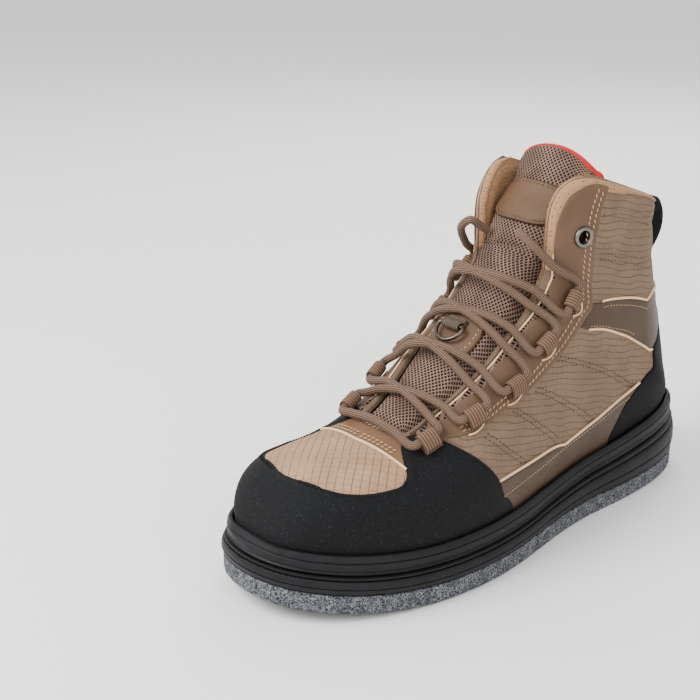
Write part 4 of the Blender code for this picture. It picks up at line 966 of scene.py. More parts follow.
EYESTAY_REAR = ((0.392, 0.800), (0.425, 0.755), (0.460, 0.725), (0.520, 0.695), (0.586, 0.668), (0.655, 0.660),
                (0.727, 0.655), (0.800, 0.648), (0.865, 0.640), (0.931, 0.630), (0.990, 0.622))
EYESTAY_FRONT = ((0.365, 0.858), (0.390, 0.862), (0.420, 0.838), (0.455, 0.842), (0.500, 0.806), (0.548, 0.815),
                 (0.600, 0.780), (0.655, 0.795), (0.715, 0.768), (0.775, 0.782), (0.825, 0.766), (0.870, 0.770),
                 (0.915, 0.764), (0.950, 0.748), (0.975, 0.718), (0.9890, 0.680), (0.9925, 0.625))
for word, side in (("lateral", 1), ("medial", -1)):
    front = [(k, v - (0.0 if side > 0 else 0.020 * float(smooth(0.7, 0.9, k)))) for k, v in EYESTAY_FRONT]
    rear = [(k, v - (0.0 if side > 0 else 0.010 * float(smooth(0.7, 0.9, k)))) for k, v in EYESTAY_REAR]
    piece = sheet_on("eyestay_leather_" + word, 260, 26, between(rear, front), (side,),
                     [rear, front, [rear[-1], front[-1]], [rear[0], front[0]]], brown_leather, 0.0001)
    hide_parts("eyestay_" + word)
    strip_low = [(k, v - 0.012) for k, v in front[:-6]]
    strip_high = [(k, throat_edge(k, side) - 0.026) for k, v in front[:-6]]
    strip = sheet_on("throat_mesh_strip_" + word, 200, 8, between(strip_low, strip_high), (side,), [strip_low],
                     mesh_made, 0.0003, uv=lambda point: (point.y * 0.9, point.z))

BAND_TOP = ((0.440, 0.585), (0.462, 0.548), (0.520, 0.525), (0.590, 0.507), (0.634, 0.487), (0.688, 0.470),
            (0.760, 0.470))
band_low = [(0.470, 0.0), (0.560, 0.0), (0.640, 0.0), (0.720, 0.0)]
for word, side in (("lateral", 1), ("medial", -1)):
    piece = sheet_on("lower_band_leather_" + word, 150, 40, between(band_low, BAND_TOP), (side,), [BAND_TOP],
                     band_leather, 0.0005, drop=0.0002)
    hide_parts("lower_band_" + word)


def at_height(v, height):
    """The place on the ankle at v whose height over the floor is as given."""
    low, high = 0.70, 1.0
    for _ in range(24):
        middle = (low + high) / 2
        low, high = (middle, high) if surface(middle, v, 1)[2] < height else (low, middle)
    return (low + high) / 2, v


ANKLE_LOW = tuple(at_height(v, height) for v, height in (
    (0.650, 0.1165), (0.630, 0.1142), (0.590, 0.1104), (0.550, 0.1040), (0.520, 0.0975), (0.480, 0.0895),
    (0.300, 0.0900), (0.000, 0.0960)))
ANKLE_HIGH = tuple(at_height(v, height) for v, height in (
    (0.650, 0.1282), (0.610, 0.1273), (0.540, 0.1256), (0.440, 0.1228), (0.350, 0.1207), (0.260, 0.1192),
    (0.140, 0.1180), (0.000, 0.1176)))
piece = sheet_on("ankle_band", 120, 20, between(ANKLE_LOW, ANKLE_HIGH), (1, -1), [ANKLE_LOW, ANKLE_HIGH],
                 band_leather, 0.0005, drop=0.0002)

VAMP_FRONT = ((0.306, 0.785), (0.303, 0.815), (0.299, 0.860), (0.294, 0.930), (0.290, 1.000))
VAMP_REAR = ((0.372, 0.790), (0.366, 0.850), (0.357, 0.890), (0.345, 0.940), (0.339, 1.000))
piece = sheet_on("vamp_leather", 70, 30, between(VAMP_FRONT, VAMP_REAR), (1, -1), [VAMP_FRONT, VAMP_REAR],
                 vamp_leather, 0.0005, drop=0.0002)

# Toe cap and heel counter
# The cap is one moulding of rough black rubber that wraps the toe and runs up beside the lace, with a
# ribbed ridge along its top edge. The counter is smooth black leather round the heel.

CAP_EDGE = ((0.139, 1.000), (0.143, 0.950), (0.150, 0.900), (0.163, 0.820), (0.184, 0.762), (0.210, 0.737),
            (0.250, 0.728), (0.280, 0.733), (0.298, 0.760), (0.312, 0.815), (0.326, 0.862), (0.342, 0.884),
            (0.358, 0.880), (0.372, 0.850), (0.388, 0.800), (0.410, 0.722), (0.432, 0.650), (0.460, 0.552),
            (0.478, 0.440), (0.490, 0.300), (0.498, 0.140), (0.502, 0.000))
cap_rows = [np.linspace(0, 0.139, 50), np.linspace(0.139, 0.19, 60), np.linspace(0.19, 0.44, 90),
            np.linspace(0.44, 0.502, 50)]
cap_rows = np.unique(np.concatenate(cap_rows).round(5))
cap_line = curve_of(CAP_EDGE, 600)


def cap_place(s, t, side):
    k = float(cap_rows[min(round(s * (len(cap_rows) - 1)), len(cap_rows) - 1)])
    top = float(np.interp(k, cap_line[:, 0], cap_line[:, 1]))
    return k, max(top, 0.0) * (0.5 - 0.5 * math.cos(math.pi * t)), side


def cap_ridge(point, away):
    return -0.0005 * math.exp(-((away - 0.0030) / 0.0011) ** 2) if point.y < -0.045 else 0.0


# Almost black and matt, with small grey flecks painted where the rough moulding catches the light: painted
# highlights.
cap_made, tree, shader = material("rough_black_toe_rubber", None, 0.82, Specular_IOR_Level=0.20)
where = add(tree, "TexCoord", (), "Object")
painted_glints = add(tree, "TexNoise", {"Vector": where, "Scale": 1 / 0.0009, "Roughness": 0.7})
painted_glints = add(tree, "MapRange", (painted_glints, 0.58, 0.74, 0.0, 0.55), interpolation_type="SMOOTHSTEP")
add(tree, "Mix", {0: painted_glints, 6: "#0a0b0d", 7: "#3c3e43"}, 2, shader.inputs["Base Color"], data_type="RGBA")
grained(tree, shader, 0.0010, 0.0005, 0.9, 3.0, 0.7)
cap = sheet_on("rubber_toe_cap", len(cap_rows) - 1, 46, cap_place, (1, -1), [CAP_EDGE], cap_made, 0.0001,
               extra=cap_ridge)
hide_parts("toe_cap")

COUNTER_EDGE = ((0.672, 0.000), (0.680, 0.160), (0.700, 0.300), (0.722, 0.400), (0.752, 0.455), (0.790, 0.477),
                (0.828, 0.474), (0.853, 0.415), (0.876, 0.325), (0.897, 0.210), (0.912, 0.100), (0.920, 0.000))
# Deep black with a soft, low sheen.
counter_made, tree, shader = material("smooth_black_leather", None, 0.75, Specular_IOR_Level=0.12)
clouded(tree, 0.02, 0.3, 0.7, "#040405", "#070708", shader.inputs["Base Color"])
grained(tree, shader, 0.0008, 0.00025, 0.5, 3.0)
counter_line = curve_of(COUNTER_EDGE, 600)


def counter_place(s, t, side):
    k = float(np.interp(s, np.linspace(0, 1, 600), counter_line[:, 0]))
    return k, max(float(np.interp(k, counter_line[:, 0], counter_line[:, 1])), 0.0) * t, side


counter = sheet_on("leather_counter", 150, 40, counter_place, (1, -1), [COUNTER_EDGE], counter_made, 0.0001)
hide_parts("heel_counter")

# Piping
# Cream cord 1.5 mm thick, caught in the seams: along the lower band, above and below the ankle band,
# behind the toe fabric, beside the throat and across the outer end of each lace slot.
PIPING = 0.00075
FINE_PIPING = 0.00055


def lengths_along(points):
    return np.r_[0, np.cumsum([(b - a).length for a, b in zip(points, points[1:])])]


def tube_of(points, radius, sides=8, up=(0, 0, 1), closed=False):
    """A round cord along points, closed at its ends, with a UV map along and around it in metres."""
    points = [Vector(point) for point in points]
    count = len(points)
    frames, turned = [], Vector(up)
    for i, point in enumerate(points):
        ahead = points[(i + 1) % count] if closed else points[min(i + 1, count - 1)]
        behind = points[i - 1] if closed or i else points[0]
        along = (ahead - behind).normalized()
        turned = (turned - along * turned.dot(along)).normalized()
        frames.append((point, turned.copy(), along.cross(turned)))
    lengths = lengths_along(points)
    if closed:
        frames.append(frames[0])
        lengths = np.r_[lengths, lengths[-1] + (points[0] - points[-1]).length]
    else:
        frames = frames[:1] + frames + frames[-1:]
        lengths = np.r_[lengths[:1], lengths, lengths[-1:]]

    def place(i, j):
        centre, first, second = frames[i]
        size = 0.0 if not closed and i in (0, len(frames) - 1) else radius
        angle = 2 * math.pi * j / sides
        return centre + size * (first * math.cos(angle) + second * math.sin(angle))
    return placed_grid(len(frames) - 1, sides, place,
                       lambda i, j, point: (lengths[i], 2 * math.pi * radius * j / sides))


def cords(name, lines, radius, finish, sides=8, angle=60):
    joined = bmesh.new()
    for line in lines:
        pour(tube_of(line, radius, sides), joined)
    return show(name, joined, finish, angle=angle)


# Pale cream, softly shining, with the grain of a thin covered cord.
piping_made, tree, shader = material("cream_piping_cord", "#dfb78e", 0.6)
grained(tree, shader, 0.0007, 0.0002, 0.6)
piping_lines = []
for side in (1, -1):
    piping_lines.append(line_on(BAND_TOP[1:], side, 150, 0.0004))
    piping_lines.append(line_on([(k - 0.001, v) for k, v in ANKLE_LOW[1:-2]], side, 80, 0.0004))
    piping_lines.append(line_on([(k + 0.001, v) for k, v in ANKLE_HIGH[1:]], side, 90, 0.0004))
vamp_line = line_on(VAMP_FRONT, 1, 60, 0.0004) + line_on(VAMP_FRONT, -1, 60, 0.0004)[::-1][1:]
piping_lines.append(vamp_line)
piping = cords("seam_piping", piping_lines, PIPING, piping_made)

LACE_LOOPS = (
    # k, lateral v, medial v
    (0.368, 0.822, 0.840), (0.455, 0.775, 0.785), (0.548, 0.730, 0.728), (0.655, 0.728, 0.730),
    (0.775, 0.718, 0.730),
)
SLOT_END = (
    # an arc round the outer end of a slot, as steps in k and v
    (-0.024, 0.012), (-0.012, 0.001), (0.002, -0.003), (0.016, 0.002), (0.024, 0.010),
)
THROAT_ROWS = (0.40, 0.46, 0.53, 0.60, 0.67, 0.75, 0.82, 0.86)
fine_lines = []
for side in (1, -1):
    for k, lateral_v, medial_v in LACE_LOOPS[1:]:
        v = (lateral_v if side > 0 else medial_v) - 0.043
        fine_lines.append(line_on([(k + ahead, v + rise) for ahead, rise in SLOT_END], side, 24, -0.0001))
    fine_lines.append(line_on([(k, throat_edge(k, side) - 0.026) for k in THROAT_ROWS], side, 160, 0.0004))
slot_piping = cords("slot_and_throat_piping", fine_lines, FINE_PIPING, piping_made, 6)

# Stitches
# Polyester thread in lockstitch, about 3 mm to the stitch: light double rows on the eyestays and behind
# the toe, fine rows on the bands, dark double rows quilting the fabric.

# Smooth twisted thread with a slight shine, a light tan and a dark brown.
thread_made, tree, shader = material("light_polyester_thread", "#b08f6b", 0.5)
grained(tree, shader, 0.0004, 0.0001, 0.5, 1.0)
dark_thread_made, tree, shader = material("dark_polyester_thread", "#35281e", 0.6)
grained(tree, shader, 0.0004, 0.0001, 0.5, 1.0)


def bead(bm, spot, facing, length, thick):
    """One stitch: a long bead whose X axis lies along the seam."""
    placed = Matrix.Translation(spot) @ facing @ Matrix.Diagonal((length / 2, thick, thick, 1.0))
    bmesh.ops.create_uvsphere(bm, u_segments=6, v_segments=4, radius=1.0, matrix=placed)


def stitches(name, rows, finish, depth, length, pitch, thick, slant=0.0):
    """Small long beads along rows of (points in k and v, side)."""
    joined = bmesh.new()
    for points, side in rows:
        beads = bmesh.new()
        run = curve_of(points, 400)
        line = [Vector(surface(float(k), float(v), side)) for k, v in run]
        lengths = lengths_along(line)
        for at in np.arange(pitch / 2, lengths[-1] - pitch / 3, pitch):
            k, v = (float(np.interp(at, lengths, run[:, axis])) for axis in (0, 1))
            i = int(np.searchsorted(lengths, at)) - 1
            along = (line[min(i + 2, len(line) - 1)] - line[max(i - 1, 0)]).normalized()
            out = Vector(normal(k, v, side))
            across = out.cross(along).normalized()
            along = (along * math.cos(slant) + across * math.sin(slant)).normalized()
            across = out.cross(along).normalized()
            facing = Matrix((along, across, along.cross(across))).transposed().to_4x4()
            bead(beads, skin(k, v, side, depth), facing, length, thick)
        pour(beads, joined)
    return show(name, joined, finish, angle=80, merge=0.000001)


light_rows, fine_rows, dark_rows = [], [], []
for side in (1, -1):
    for shift in (0.014, 0.030):
        light_rows.append(([(k, v + shift) for k, v in EYESTAY_REAR[1:]], side))
    for shift in (0.009, 0.0165):
        light_rows.append(([(k + shift, v) for k, v in VAMP_FRONT[2:]], side))
    light_rows.append(([(k - 0.007, v) for k, v in VAMP_REAR[2:]], side))
    fine_rows.append(([(k, v - 0.045) for k, v in BAND_TOP[1:]], side))
    fine_rows.append(([(k - 0.009, v) for k, v in ANKLE_HIGH[1:]], side))
    fine_rows.append(([(k + 0.008, v) for k, v in ANKLE_LOW[1:-3]], side))
    for row in QUILTING:
        dark_rows.append(([(k - 0.0045, v) for k, v in row], side))
        dark_rows.append(([(k + 0.0045, v) for k, v in row], side))
cap_rib_rows = [([(k - 0.004, v - 0.014) for k, v in CAP_EDGE[1:9]], side) for side in (1, -1)]
stitches("cap_edge_ribs", cap_rib_rows, cap_made, -0.0001, 0.0022, 0.0016, 0.0005, math.pi / 2)
stitches("light_stitching", light_rows, thread_made, 0.00005, 0.0027, 0.0030, 0.0004, 0.35)
stitches("fine_stitching", fine_rows, thread_made, 0.0005, 0.0017, 0.0024, 0.00027)
stitches("quilt_stitching", dark_rows, dark_thread_made, 0.0017, 0.0021, 0.0029, 0.00036)

# Eyelets
# Turned metal rings, rolled over at the face, one in each flap and two for draining in the medial band.

RING_PROFILE = (
    # radius, height over the leather
    (0.0034, 0.0), (0.0036, 0.0010), (0.0042, 0.0016), (0.0049, 0.0017), (0.0055, 0.0013),
    (0.0059, 0.0006), (0.0058, -0.0004), (0.0040, -0.0004),
)
BARREL = (0.0034, 0.0039)

# Grey metal with soft highlights, slightly dulled.
eyelet_made, tree, shader = material("brushed_nickel", "#75716c", 0.35, Metallic=1.0)
grained(tree, shader, 0.0012, 0.00005, 0.3)
for name, k, v, side, depth in EYELETS:
    bm = bmesh.new()
    centre, axis = Vector(surface(k, v, side)), Vector(normal(k, v, side))
    profile = ((BARREL[0], -depth),) + RING_PROFILE + ((BARREL[1], -depth),)
    turn(bm, centre, axis, axis.orthogonal().normalized(), profile, 36, closed=True)
    ring = show("ring_" + name, bm, eyelet_made)
    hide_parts(name)

# Tongue
# Padded open mesh, its holes painted dark for the padding and painted shade in them, folded once below the
# badge, bound in red along its top. A bare leather badge sits near the top and a leather patch with a D-ring
# lower down.

TONGUE_CLEARANCE = 0.0015
TONGUE_RISE = 0.0115
TONGUE_SINK = (
    # k, how deep its middle lies under the ridge, as a share of SHAFT_WIDTH
    (0.305, 0.012), (0.510, 0.012), (0.580, 0.018), (0.650, 0.030), (0.710, 0.051), (0.755, 0.071),
    (0.800, 0.119), (0.850, 0.185), (0.890, 0.238), (0.930, 0.310), (0.965, 0.370), (1.000, 0.365),
)
TONGUE_FRONT = 0.021
K_TONGUE_OUT = (0.348, 0.380)
TONGUE_OVERLAP = 0.0075
TONGUE_BOW = 0.0085
PLATE_SEAT = 0.0014


def section_line(k):
    low_y, low_z, high_y, high_z = section(k)[:4]
    length = math.hypot(high_y - low_y, high_z - low_z)
    return np.array([0, low_y, low_z]), np.array([0, high_y - low_y, high_z - low_z]) / length, length


def ridge_v(k, x, side):
    half, _, roundness, _ = section(k)[4:]
    share = min(abs(x) / half[side], 0.999)
    return 0.5 + math.acos(share ** (roundness / 2)) / math.pi


@functools.lru_cache(maxsize=None)
def wall_edge(k, side):
    edge_v = throat_edge(k, side)
    return abs(skin(k, edge_v, side, lining_depth(k, edge_v, side))[0] - middle_x(k))


@functools.lru_cache(maxsize=None)
def tongue_half(k, side):
    if k <= K_THROAT:
        return TONGUE_FRONT
    cover = lining_depth(k, throat_edge(k, side), side)
    inside = 0.93 * section(k)[4][side] - cover - TONGUE_CLEARANCE
    return min(max(wall_edge(k, side) + TONGUE_OVERLAP, TONGUE_FRONT), inside)


@functools.lru_cache(maxsize=None)
def depth_line(k, side, depth):
    low, out, _ = section_line(k)
    across, reach = [], []
    for v in np.linspace(1.0, 0.52, 25):
        point, facing = surface(k, float(v), side), normal(k, float(v), side)
        n_x, n_out = float(facing[0]), float(facing @ out)
        in_plane = depth / (n_x ** 2 + n_out ** 2)
        across.append(max((point[0] - middle_x(k) - n_x * in_plane) * side, 0.0))
        reach.append(float((point - low) @ out) - n_out * in_plane)
    return np.maximum.accumulate(across), reach


def tongue_reach(k, x, side):
    sink = float(hermite(column(TONGUE_SINK, 0), column(TONGUE_SINK, 1), k)) * SHAFT_WIDTH
    wall = lining_depth(k, throat_edge(k, side), side)
    edge = wall_edge(k, side)
    under = float(smooth(edge - 0.0057, edge - 0.0015, abs(x)))
    if k < K_TONGUE_OUT[1]:
        under = max(under, 1 - float(smooth(*K_TONGUE_OUT, k)))
    form = np.interp(abs(x), *depth_line(k, side, 0.0))
    covered = np.interp(abs(x), *depth_line(k, side, wall + TONGUE_CLEARANCE))
    close = float(form + (covered - form) * under)
    free = section_line(k)[2] - sink - TONGUE_BOW * (x / tongue_half(k, side)) ** 2
    return min(close, free)


def tongue_point(k, x, side, height=0.0):
    low, out, _ = section_line(k)
    point = low + out * (tongue_reach(k, x, side) + height)
    point[0] = middle_x(k) + x * side
    return Vector(point)


TONGUE_LEAN = (tongue_point(1.0, 0, 1) - tongue_point(0.965, 0, 1)).normalized()
TONGUE_SEAM = 0.852
TONGUE_TOP_ROWS = 14
TONGUE_COLUMNS = 44
tongue_rows = [(float(k), 0.0, 1.0) for k in np.linspace(0.307, 1.0, 130)]
tongue_rows += [(1.0, TONGUE_RISE * n / TONGUE_TOP_ROWS, 1 - 0.10 * (n / TONGUE_TOP_ROWS) ** 2)
                for n in range(1, TONGUE_TOP_ROWS + 1)]


def tongue_face(i, j, height=0.0):
    """Point of the tongue's face at row i and column j, with its seam pressed in."""
    k, beyond, width = tongue_rows[i]
    share = 2 * j / TONGUE_COLUMNS - 1
    side = 1 if share >= 0 else -1
    x = tongue_half(k, side) * abs(share) * width
    seam = math.exp(-((k - TONGUE_SEAM - 0.012 * share) / 0.0045) ** 2) if beyond == 0 else 0.0
    edge = 0.0012 * max(abs(share) - 0.8, 0) / 0.2
    slope = 1 - (0.80 if side > 0 else 0.55) * abs(share) ** 2.2
    return tongue_point(k, x, side, height - 0.0014 * seam - edge + 0.0004) + TONGUE_LEAN * beyond * slope


tongue_spots = [[tongue_face(i, j) for j in range(TONGUE_COLUMNS + 1)] for i in range(len(tongue_rows))]
tongue_steps = [[0.0] + [(b - a).length for a, b in zip(row, row[1:])] for row in tongue_spots]
tongue_across = [np.cumsum(row) - sum(row) / 2 for row in tongue_steps]
tongue_along = lengths_along([row[TONGUE_COLUMNS // 2] for row in tongue_spots])
bm = placed_grid(len(tongue_rows) - 1, TONGUE_COLUMNS, lambda i, j: tongue_spots[i][j],
                 lambda i, j, point: (tongue_across[i][j], tongue_along[i]))
tongue = show("mesh_tongue", bm, mesh_made, out=lambda point: Vector((0, -1, 0.4)), wall=0.0042, angle=70)
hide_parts("tongue")

# Bright red woven tape with a dull face.
red_made, tree, shader = material("red_edge_binding", "#b8000c", 0.6, Specular_IOR_Level=0.15)
grained(tree, shader, 0.0006, 0.0002, 0.5)
BINDING = 0.0022
BINDING_SINK = -0.0024
last = len(tongue_rows) - 1
edge_line = [tongue_face(last, j, BINDING_SINK) - TONGUE_LEAN * 0.0006 for j in range(TONGUE_COLUMNS + 1)]
edge_line += [tongue_face(i, TONGUE_COLUMNS, BINDING_SINK) for i in range(last - 1, 127, -1)]
bm = tube_of(edge_line, BINDING, 12, up=(0, 1, 0))
binding = show("red_binding", bm, red_made, angle=70)


PLATE_ROWS = 36
PLATE_COLUMNS = 44


def plate(name, span, half_width, thick, round_off, groove, finish):
    """A leather plate with round corners on the tongue, with a stitched groove inside its edge."""
    def flat(i, j):
        u, w = 2 * i / PLATE_ROWS - 1, 2 * j / PLATE_COLUMNS - 1
        reach = max(abs(u), abs(w), 0.0001)
        pull = 1.0
        if reach > 0.001:
            pull = (abs(u / reach) ** round_off + abs(w / reach) ** round_off) ** (-1 / round_off)
        a, b = w * pull, u * pull
        middle, reach = (span[0] + span[1]) / 2, (span[1] - span[0]) / 2
        return middle + reach * b, a * half_width

    def at(i, j, height):
        k, x = flat(i, j)
        return tongue_point(k, abs(x), 1 if x >= 0 else -1, height)
    rim = [at(i, j, 0.0) for i in (0, PLATE_ROWS) for j in range(PLATE_COLUMNS + 1)]
    rim += [at(i, j, 0.0) for j in (0, PLATE_COLUMNS) for i in range(PLATE_ROWS + 1)]
    border = tree_of(rim)

    def place(i, j):
        away = border.find(at(i, j, 0.0))[2]
        curl = 1 - min(away / 0.0010, 1.0)
        height = PLATE_SEAT + thick * math.sqrt(max(1 - curl * curl, 0.0))
        return at(i, j, height - 0.0006 * math.exp(-((away - groove) / 0.0004) ** 2))
    bm = placed_grid(PLATE_ROWS, PLATE_COLUMNS, place, lambda i, j, point: (point.x, point.z))
    piece = show(name, bm, finish, out=lambda point: Vector((0, -1, 0.5)), wall=0.0012)
    return piece, at


BADGE_THICK = 0.0016
PATCH_THICK = 0.0012

# The tongue's own brown leather, a little less shiny.
badge_leather = leather("badge_leather", "#543c29", "#5b432f", 0.55)
badge, badge_at = plate("leather_badge", (0.909, 0.979), 0.022, BADGE_THICK, 3.4, 0.0021, badge_leather)
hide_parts("tongue_badge")
patch, patch_at = plate("leather_patch", (0.500, 0.610), 0.017, PATCH_THICK, 3.0, 0.0022, badge_leather)
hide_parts("tongue_patch")


def plate_stitches(name, at, inset, thick, finish):
    """A round of stitches inside a plate's edge."""
    bm = bmesh.new()
    low, high = inset, 1 - inset
    path = [(low, t) for t in np.linspace(low, high, 40)] + [(t, high) for t in np.linspace(low, high, 30)]
    path += [(high, t) for t in np.linspace(high, low, 40)] + [(t, low) for t in np.linspace(high, low, 30)]
    line = [at(i * PLATE_ROWS, j * PLATE_COLUMNS, PLATE_SEAT + thick - 0.0003) for i, j in path]
    lengths = lengths_along(line)
    for spot in np.arange(0.001, lengths[-1], 0.0030):
        i = min(int(np.searchsorted(lengths, spot)), len(line) - 1)
        along = (line[i] - line[i - 1]).normalized()
        bead(bm, line[i], along.to_track_quat("X", "Z").to_matrix().to_4x4(), 0.0020, 0.0004)
    return show(name, bm, finish, angle=80, merge=0.000001)


plate_stitches("badge_stitching", badge_at, 0.065, BADGE_THICK, dark_thread_made)
plate_stitches("patch_stitching", patch_at, 0.085, PATCH_THICK, thread_made)

# D-ring, pull loop and lace loops
# Bent dark wire on a tab of webbing; a loop of dark webbing at the back of the collar; and ten lace
# loops of folded brown webbing sewn to the eyestays.

WEBBING = 0.0011
LACE = 0.0046
WIRE = 0.0011
RING_REACH = 0.0088


def smooth_path(points, step):
    points = np.array([tuple(point) for point in points])
    lengths = np.linalg.norm(np.diff(points, axis=0), axis=1)
    keys = np.r_[0, np.cumsum(lengths)]
    at = [0.0]
    for start, length in zip(keys, lengths):
        count = max(int(round(length / step)), 1)
        at += [start + length * n / count for n in range(1, count + 1)]
    return np.c_[tuple(hermite(keys, points[:, axis], at) for axis in range(3))]


def strap_of(path, across, width, thickness, step=0.0008):
    """A woven band with round edges along a path, with a UV map along and across it in metres."""
    path = [Vector(point) for point in smooth_path(path, step)]
    across = Vector(across).normalized()
    shape = [(-1, 0.0), (-0.95, -0.8), (-0.8, -1.0), (-0.4, -1), (0, -1), (0.4, -1), (0.8, -1.0), (0.95, -0.8),
             (1, 0.0), (0.95, 0.8), (0.8, 1.0), (0.4, 1), (0, 1), (-0.4, 1), (-0.8, 1.0), (-0.95, 0.8)]
    frames = []
    for i, point in enumerate(path):
        along = (path[min(i + 1, len(path) - 1)] - path[max(i - 1, 0)]).normalized()
        frames.append((point, along.cross(across).normalized(), 1.0))
    frames = [(frames[0][0], frames[0][1], 0.0)] + frames + [(frames[-1][0], frames[-1][1], 0.0)]

    def place(i, j):
        centre, out, size = frames[i]
        a, b = shape[j % len(shape)]
        return centre + across * width / 2 * a * size + out * thickness / 2 * b * size
    return placed_grid(len(frames) - 1, len(shape), place,
                       lambda i, j, point: (i * step, width / 2 * shape[j % len(shape)][0]))


def webbing(name, dark, light):
    """Flat woven band with ribs across it and a paler stripe down each thread."""
    made, tree, shader = material(name, None, 0.8, Specular_IOR_Level=0.2)
    x, y = metres(tree)
    stripe, rib = ridges(tree, y, 0.0008), ridges(tree, x, 0.0004)
    share = add(tree, "MapRange", (stripe, 0.15, 0.75), interpolation_type="SMOOTHSTEP")
    add(tree, "Mix", {0: share, 6: dark, 7: light}, 2, shader.inputs["Base Color"], data_type="RGBA")
    weave = add(tree, "Math", (rib, 0.5, stripe), operation="MULTIPLY_ADD")
    add(tree, "Bump", {"Height": weave, "Distance": 0.0003, "Strength": 0.9}, 0, shader.inputs["Normal"])
    return made


# Dull woven bands: near black for the pull loop, brown for the lace loops, grey brown for the tab.
dark_webbing = webbing("dark_grey_webbing", "#171615", "#2e2c2a")
brown_webbing = webbing("brown_webbing", "#4b3628", "#745b49")
tab_webbing = webbing("grey_brown_webbing", "#3a3029", "#5d5044")

height = PLATE_SEAT + PATCH_THICK + GAP + WIRE
bar, far = tongue_point(0.556, 0, 1, height), tongue_point(0.524, 0, 1, height)
along = (far - bar).normalized()
across = Vector((1, 0, 0))
out = along.cross(across)
out = out if out.y < 0 else -out
centre = bar + out * 0.0018
ring_line = [centre + across * RING_REACH * math.cos(math.pi * n / 30)
             + along * (0.0012 + RING_REACH * math.sin(math.pi * n / 30)) for n in range(31)]
ring_line += [centre + across * RING_REACH * share for share in np.linspace(-0.93, 0.93, 15)]
# Dark brownish metal with sharp small highlights.
metal_made, tree, shader = material("dark_bronze_wire", "#57504a", 0.32, Metallic=1.0)
grained(tree, shader, 0.001, 0.00005, 0.3)
ring = show("bent_d_ring", tube_of(ring_line, WIRE, 12, up=out, closed=True), metal_made, angle=70)
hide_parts("d_ring")
clear = WIRE + GAP + WEBBING / 2
sole_of_tab = PLATE_SEAT + PATCH_THICK + GAP + WEBBING / 2
path = [tongue_point(0.556 + further, 0, 1, sole_of_tab) for further in (0.023, 0.016)]
path += [centre - out * clear * math.cos(turn) + along * clear * math.sin(turn)
         for turn in (math.radians(angle) for angle in (0, 60, 120, 180, 225))]
path += [path[1] + out * (WEBBING + GAP), path[0] + out * (WEBBING + GAP)]
tab = show("webbing_tab", strap_of(path, across, 0.0120, WEBBING, 0.0005), tab_webbing, angle=70)
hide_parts("ring_tab")

seat = -WEBBING / 2
path = [skin(k, 0, 1, depth) for k, depth in (
    (0.975, seat), (0.992, seat), (0.998, seat - 0.0045), (0.995, seat - 0.0110), (0.982, seat - 0.0155),
    (0.966, seat - 0.0150), (0.954, seat - 0.0090), (0.948, seat - 0.0030), (0.944, seat), (0.930, seat))]
pull = show("pull_loop_webbing", strap_of(path, across, 0.020, WEBBING), dark_webbing, angle=70)
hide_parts("pull_loop")

LOOP_BEND = LACE / 2 + 0.0004 + WEBBING / 2
LOOP_SEAT = 0.0010 + WEBBING / 2
LOOP_WIDTH = 0.0105


def loop_frame(k, v, side):
    """Middle of a loop's seat on the overlay, and its directions: out, inward, and up the throat."""
    out = Vector(normal(k, v, side))
    inward = Vector(surface(k, v + 0.01, side) - surface(k, v - 0.01, side))
    inward = (inward - out * inward.dot(out)).normalized()
    upward = out.cross(inward)
    return Vector(surface(k, v, side)), out, inward, upward if upward.z > 0 else -upward


for number, (k, lateral_v, medial_v) in enumerate(LACE_LOOPS, 1):
    for word, v, side in (("lateral", lateral_v, 1), ("medial", medial_v, -1)):
        seat, out, inward, upward = loop_frame(k, v, side)
        centre = seat + out * (LOOP_SEAT + LOOP_BEND)
        path = [seat - inward * 0.0065 + out * LOOP_SEAT, seat + out * LOOP_SEAT]
        path += [centre + inward * LOOP_BEND * math.cos(turn) + out * LOOP_BEND * math.sin(turn)
                 for turn in (math.radians(angle) for angle in (-55, -20, 20, 60, 95, 130))]
        path.append(seat - inward * 0.0060 + out * (LOOP_SEAT + WEBBING + GAP * 2))
        name = "lace_loop_%s_%d" % (word, number)
        piece = show("webbing_" + name, strap_of(path, upward, LOOP_WIDTH, WEBBING, 0.0006), brown_webbing,
                     angle=70)
        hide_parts(name)

# Lace
# Round braided polyester, 4.6 mm, brown with lighter strands along it. It crosses from loop to loop and
# its two ends go over the flaps' inner edges and down behind the tongue's sides.

LACE_EDGE = 0.0012
LACE_OVER = 0.0018
K_BAR = 0.335
K_LACE_END = 0.872


def loop_pass(number, side, upwards):
    """The lace's straight way through one loop."""
    k, lateral_v, medial_v = LACE_LOOPS[number - 1]
    seat, out, _, upward = loop_frame(k, lateral_v if side > 0 else medial_v, side)
    centre = seat + out * (LOOP_SEAT + LOOP_BEND)
    half = LOOP_WIDTH / 2
    points = [centre + upward * reach for reach in (-half - 0.0020, -half, half, half + 0.0020)]
    return points if upwards else points[::-1]


def over_shoe(k, x, height):
    side = 1 if x >= 0 else -1
    v = ridge_v(k, x, side)
    return Vector(skin(k, v, side, -height))


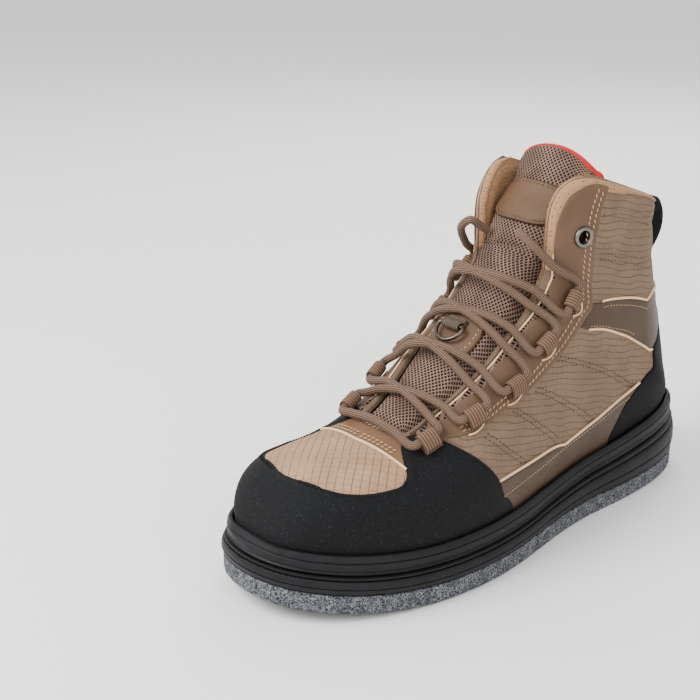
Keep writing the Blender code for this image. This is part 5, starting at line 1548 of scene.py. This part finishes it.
def crossing(number, from_side, rise):
    """The lace's way over the tongue between two rows of loops; rise lifts it over the other strand."""
    k0, k1 = LACE_LOOPS[number - 1][0], LACE_LOOPS[number][0]
    table = ((0.33, 0.026, 0.0), (0.41, 0.013, 0.7), (0.50, 0.0, 1.0), (0.59, -0.013, 0.7), (0.67, -0.026, 0.0))
    return [over_shoe(k0 + (k1 - k0) * share, from_side * x, LACE / 2 + LACE_EDGE
                      + (LACE_OVER - LACE_EDGE + rise) * lifted) for share, x, lifted in table]


def lace_end(side):
    edge = wall_edge(K_LACE_END, side) - LACE / 2 - LACE_EDGE
    tucked = tongue_point(K_LACE_END, edge - 0.0025, side, LACE / 2 + LACE_EDGE)
    mouth = over_shoe(K_LACE_END, side * edge, 0.0)
    return [tucked, tucked.lerp(mouth, 0.55), mouth,
            over_shoe(K_LACE_END - 0.006, side * (edge + 0.0045), LACE / 2 + LACE_EDGE),
            over_shoe(K_LACE_END - 0.036, side * (edge + 0.0125), LACE / 2 + LACE_EDGE + 0.0010)]


high = LACE + 0.0006
run = lace_end(1) + loop_pass(5, 1, False)
side = -1
for number in (4, 3, 2, 1):
    run += crossing(number, side, high if side < 0 else 0.0)[::-1] + loop_pass(number, side, False)
    side = -side
run += [over_shoe(K_BAR, x, LACE / 2 + LACE_OVER) for x in (0.016, 0.0, -0.016)]
side = -1
for number in (1, 2, 3, 4):
    run += loop_pass(number, side, True) + crossing(number, side, 0.0 if side < 0 else high)
    side = -side
run += loop_pass(5, side, True) + lace_end(-1)[::-1]

# Dull brown braid with paler strands along it and a slanting plait.
STRAND = 0.0006
lace_made, tree, shader = material("braided_polyester_lace", None, 0.75, Specular_IOR_Level=0.2)
x, y = metres(tree)
strand = ridges(tree, y, STRAND)
share = add(tree, "MapRange", (strand, 0.62, 0.85), interpolation_type="SMOOTHSTEP")
add(tree, "Mix", {0: share, 6: "#584235", 7: "#86705f"}, 2, shader.inputs["Base Color"], data_type="RGBA")
plait = add(tree, "Math", (add(tree, "Math", (x, y), operation="ADD"), 0.0007), operation="PINGPONG")
plait = add(tree, "Math", (plait, 700.0, strand), operation="MULTIPLY_ADD")
add(tree, "Bump", {"Height": plait, "Distance": 0.0004, "Strength": 0.9}, 0, shader.inputs["Normal"])
lace = show("braided_lace", tube_of(smooth_path(run, 0.0016), LACE / 2, 16), lace_made, angle=70)
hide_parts("lace")
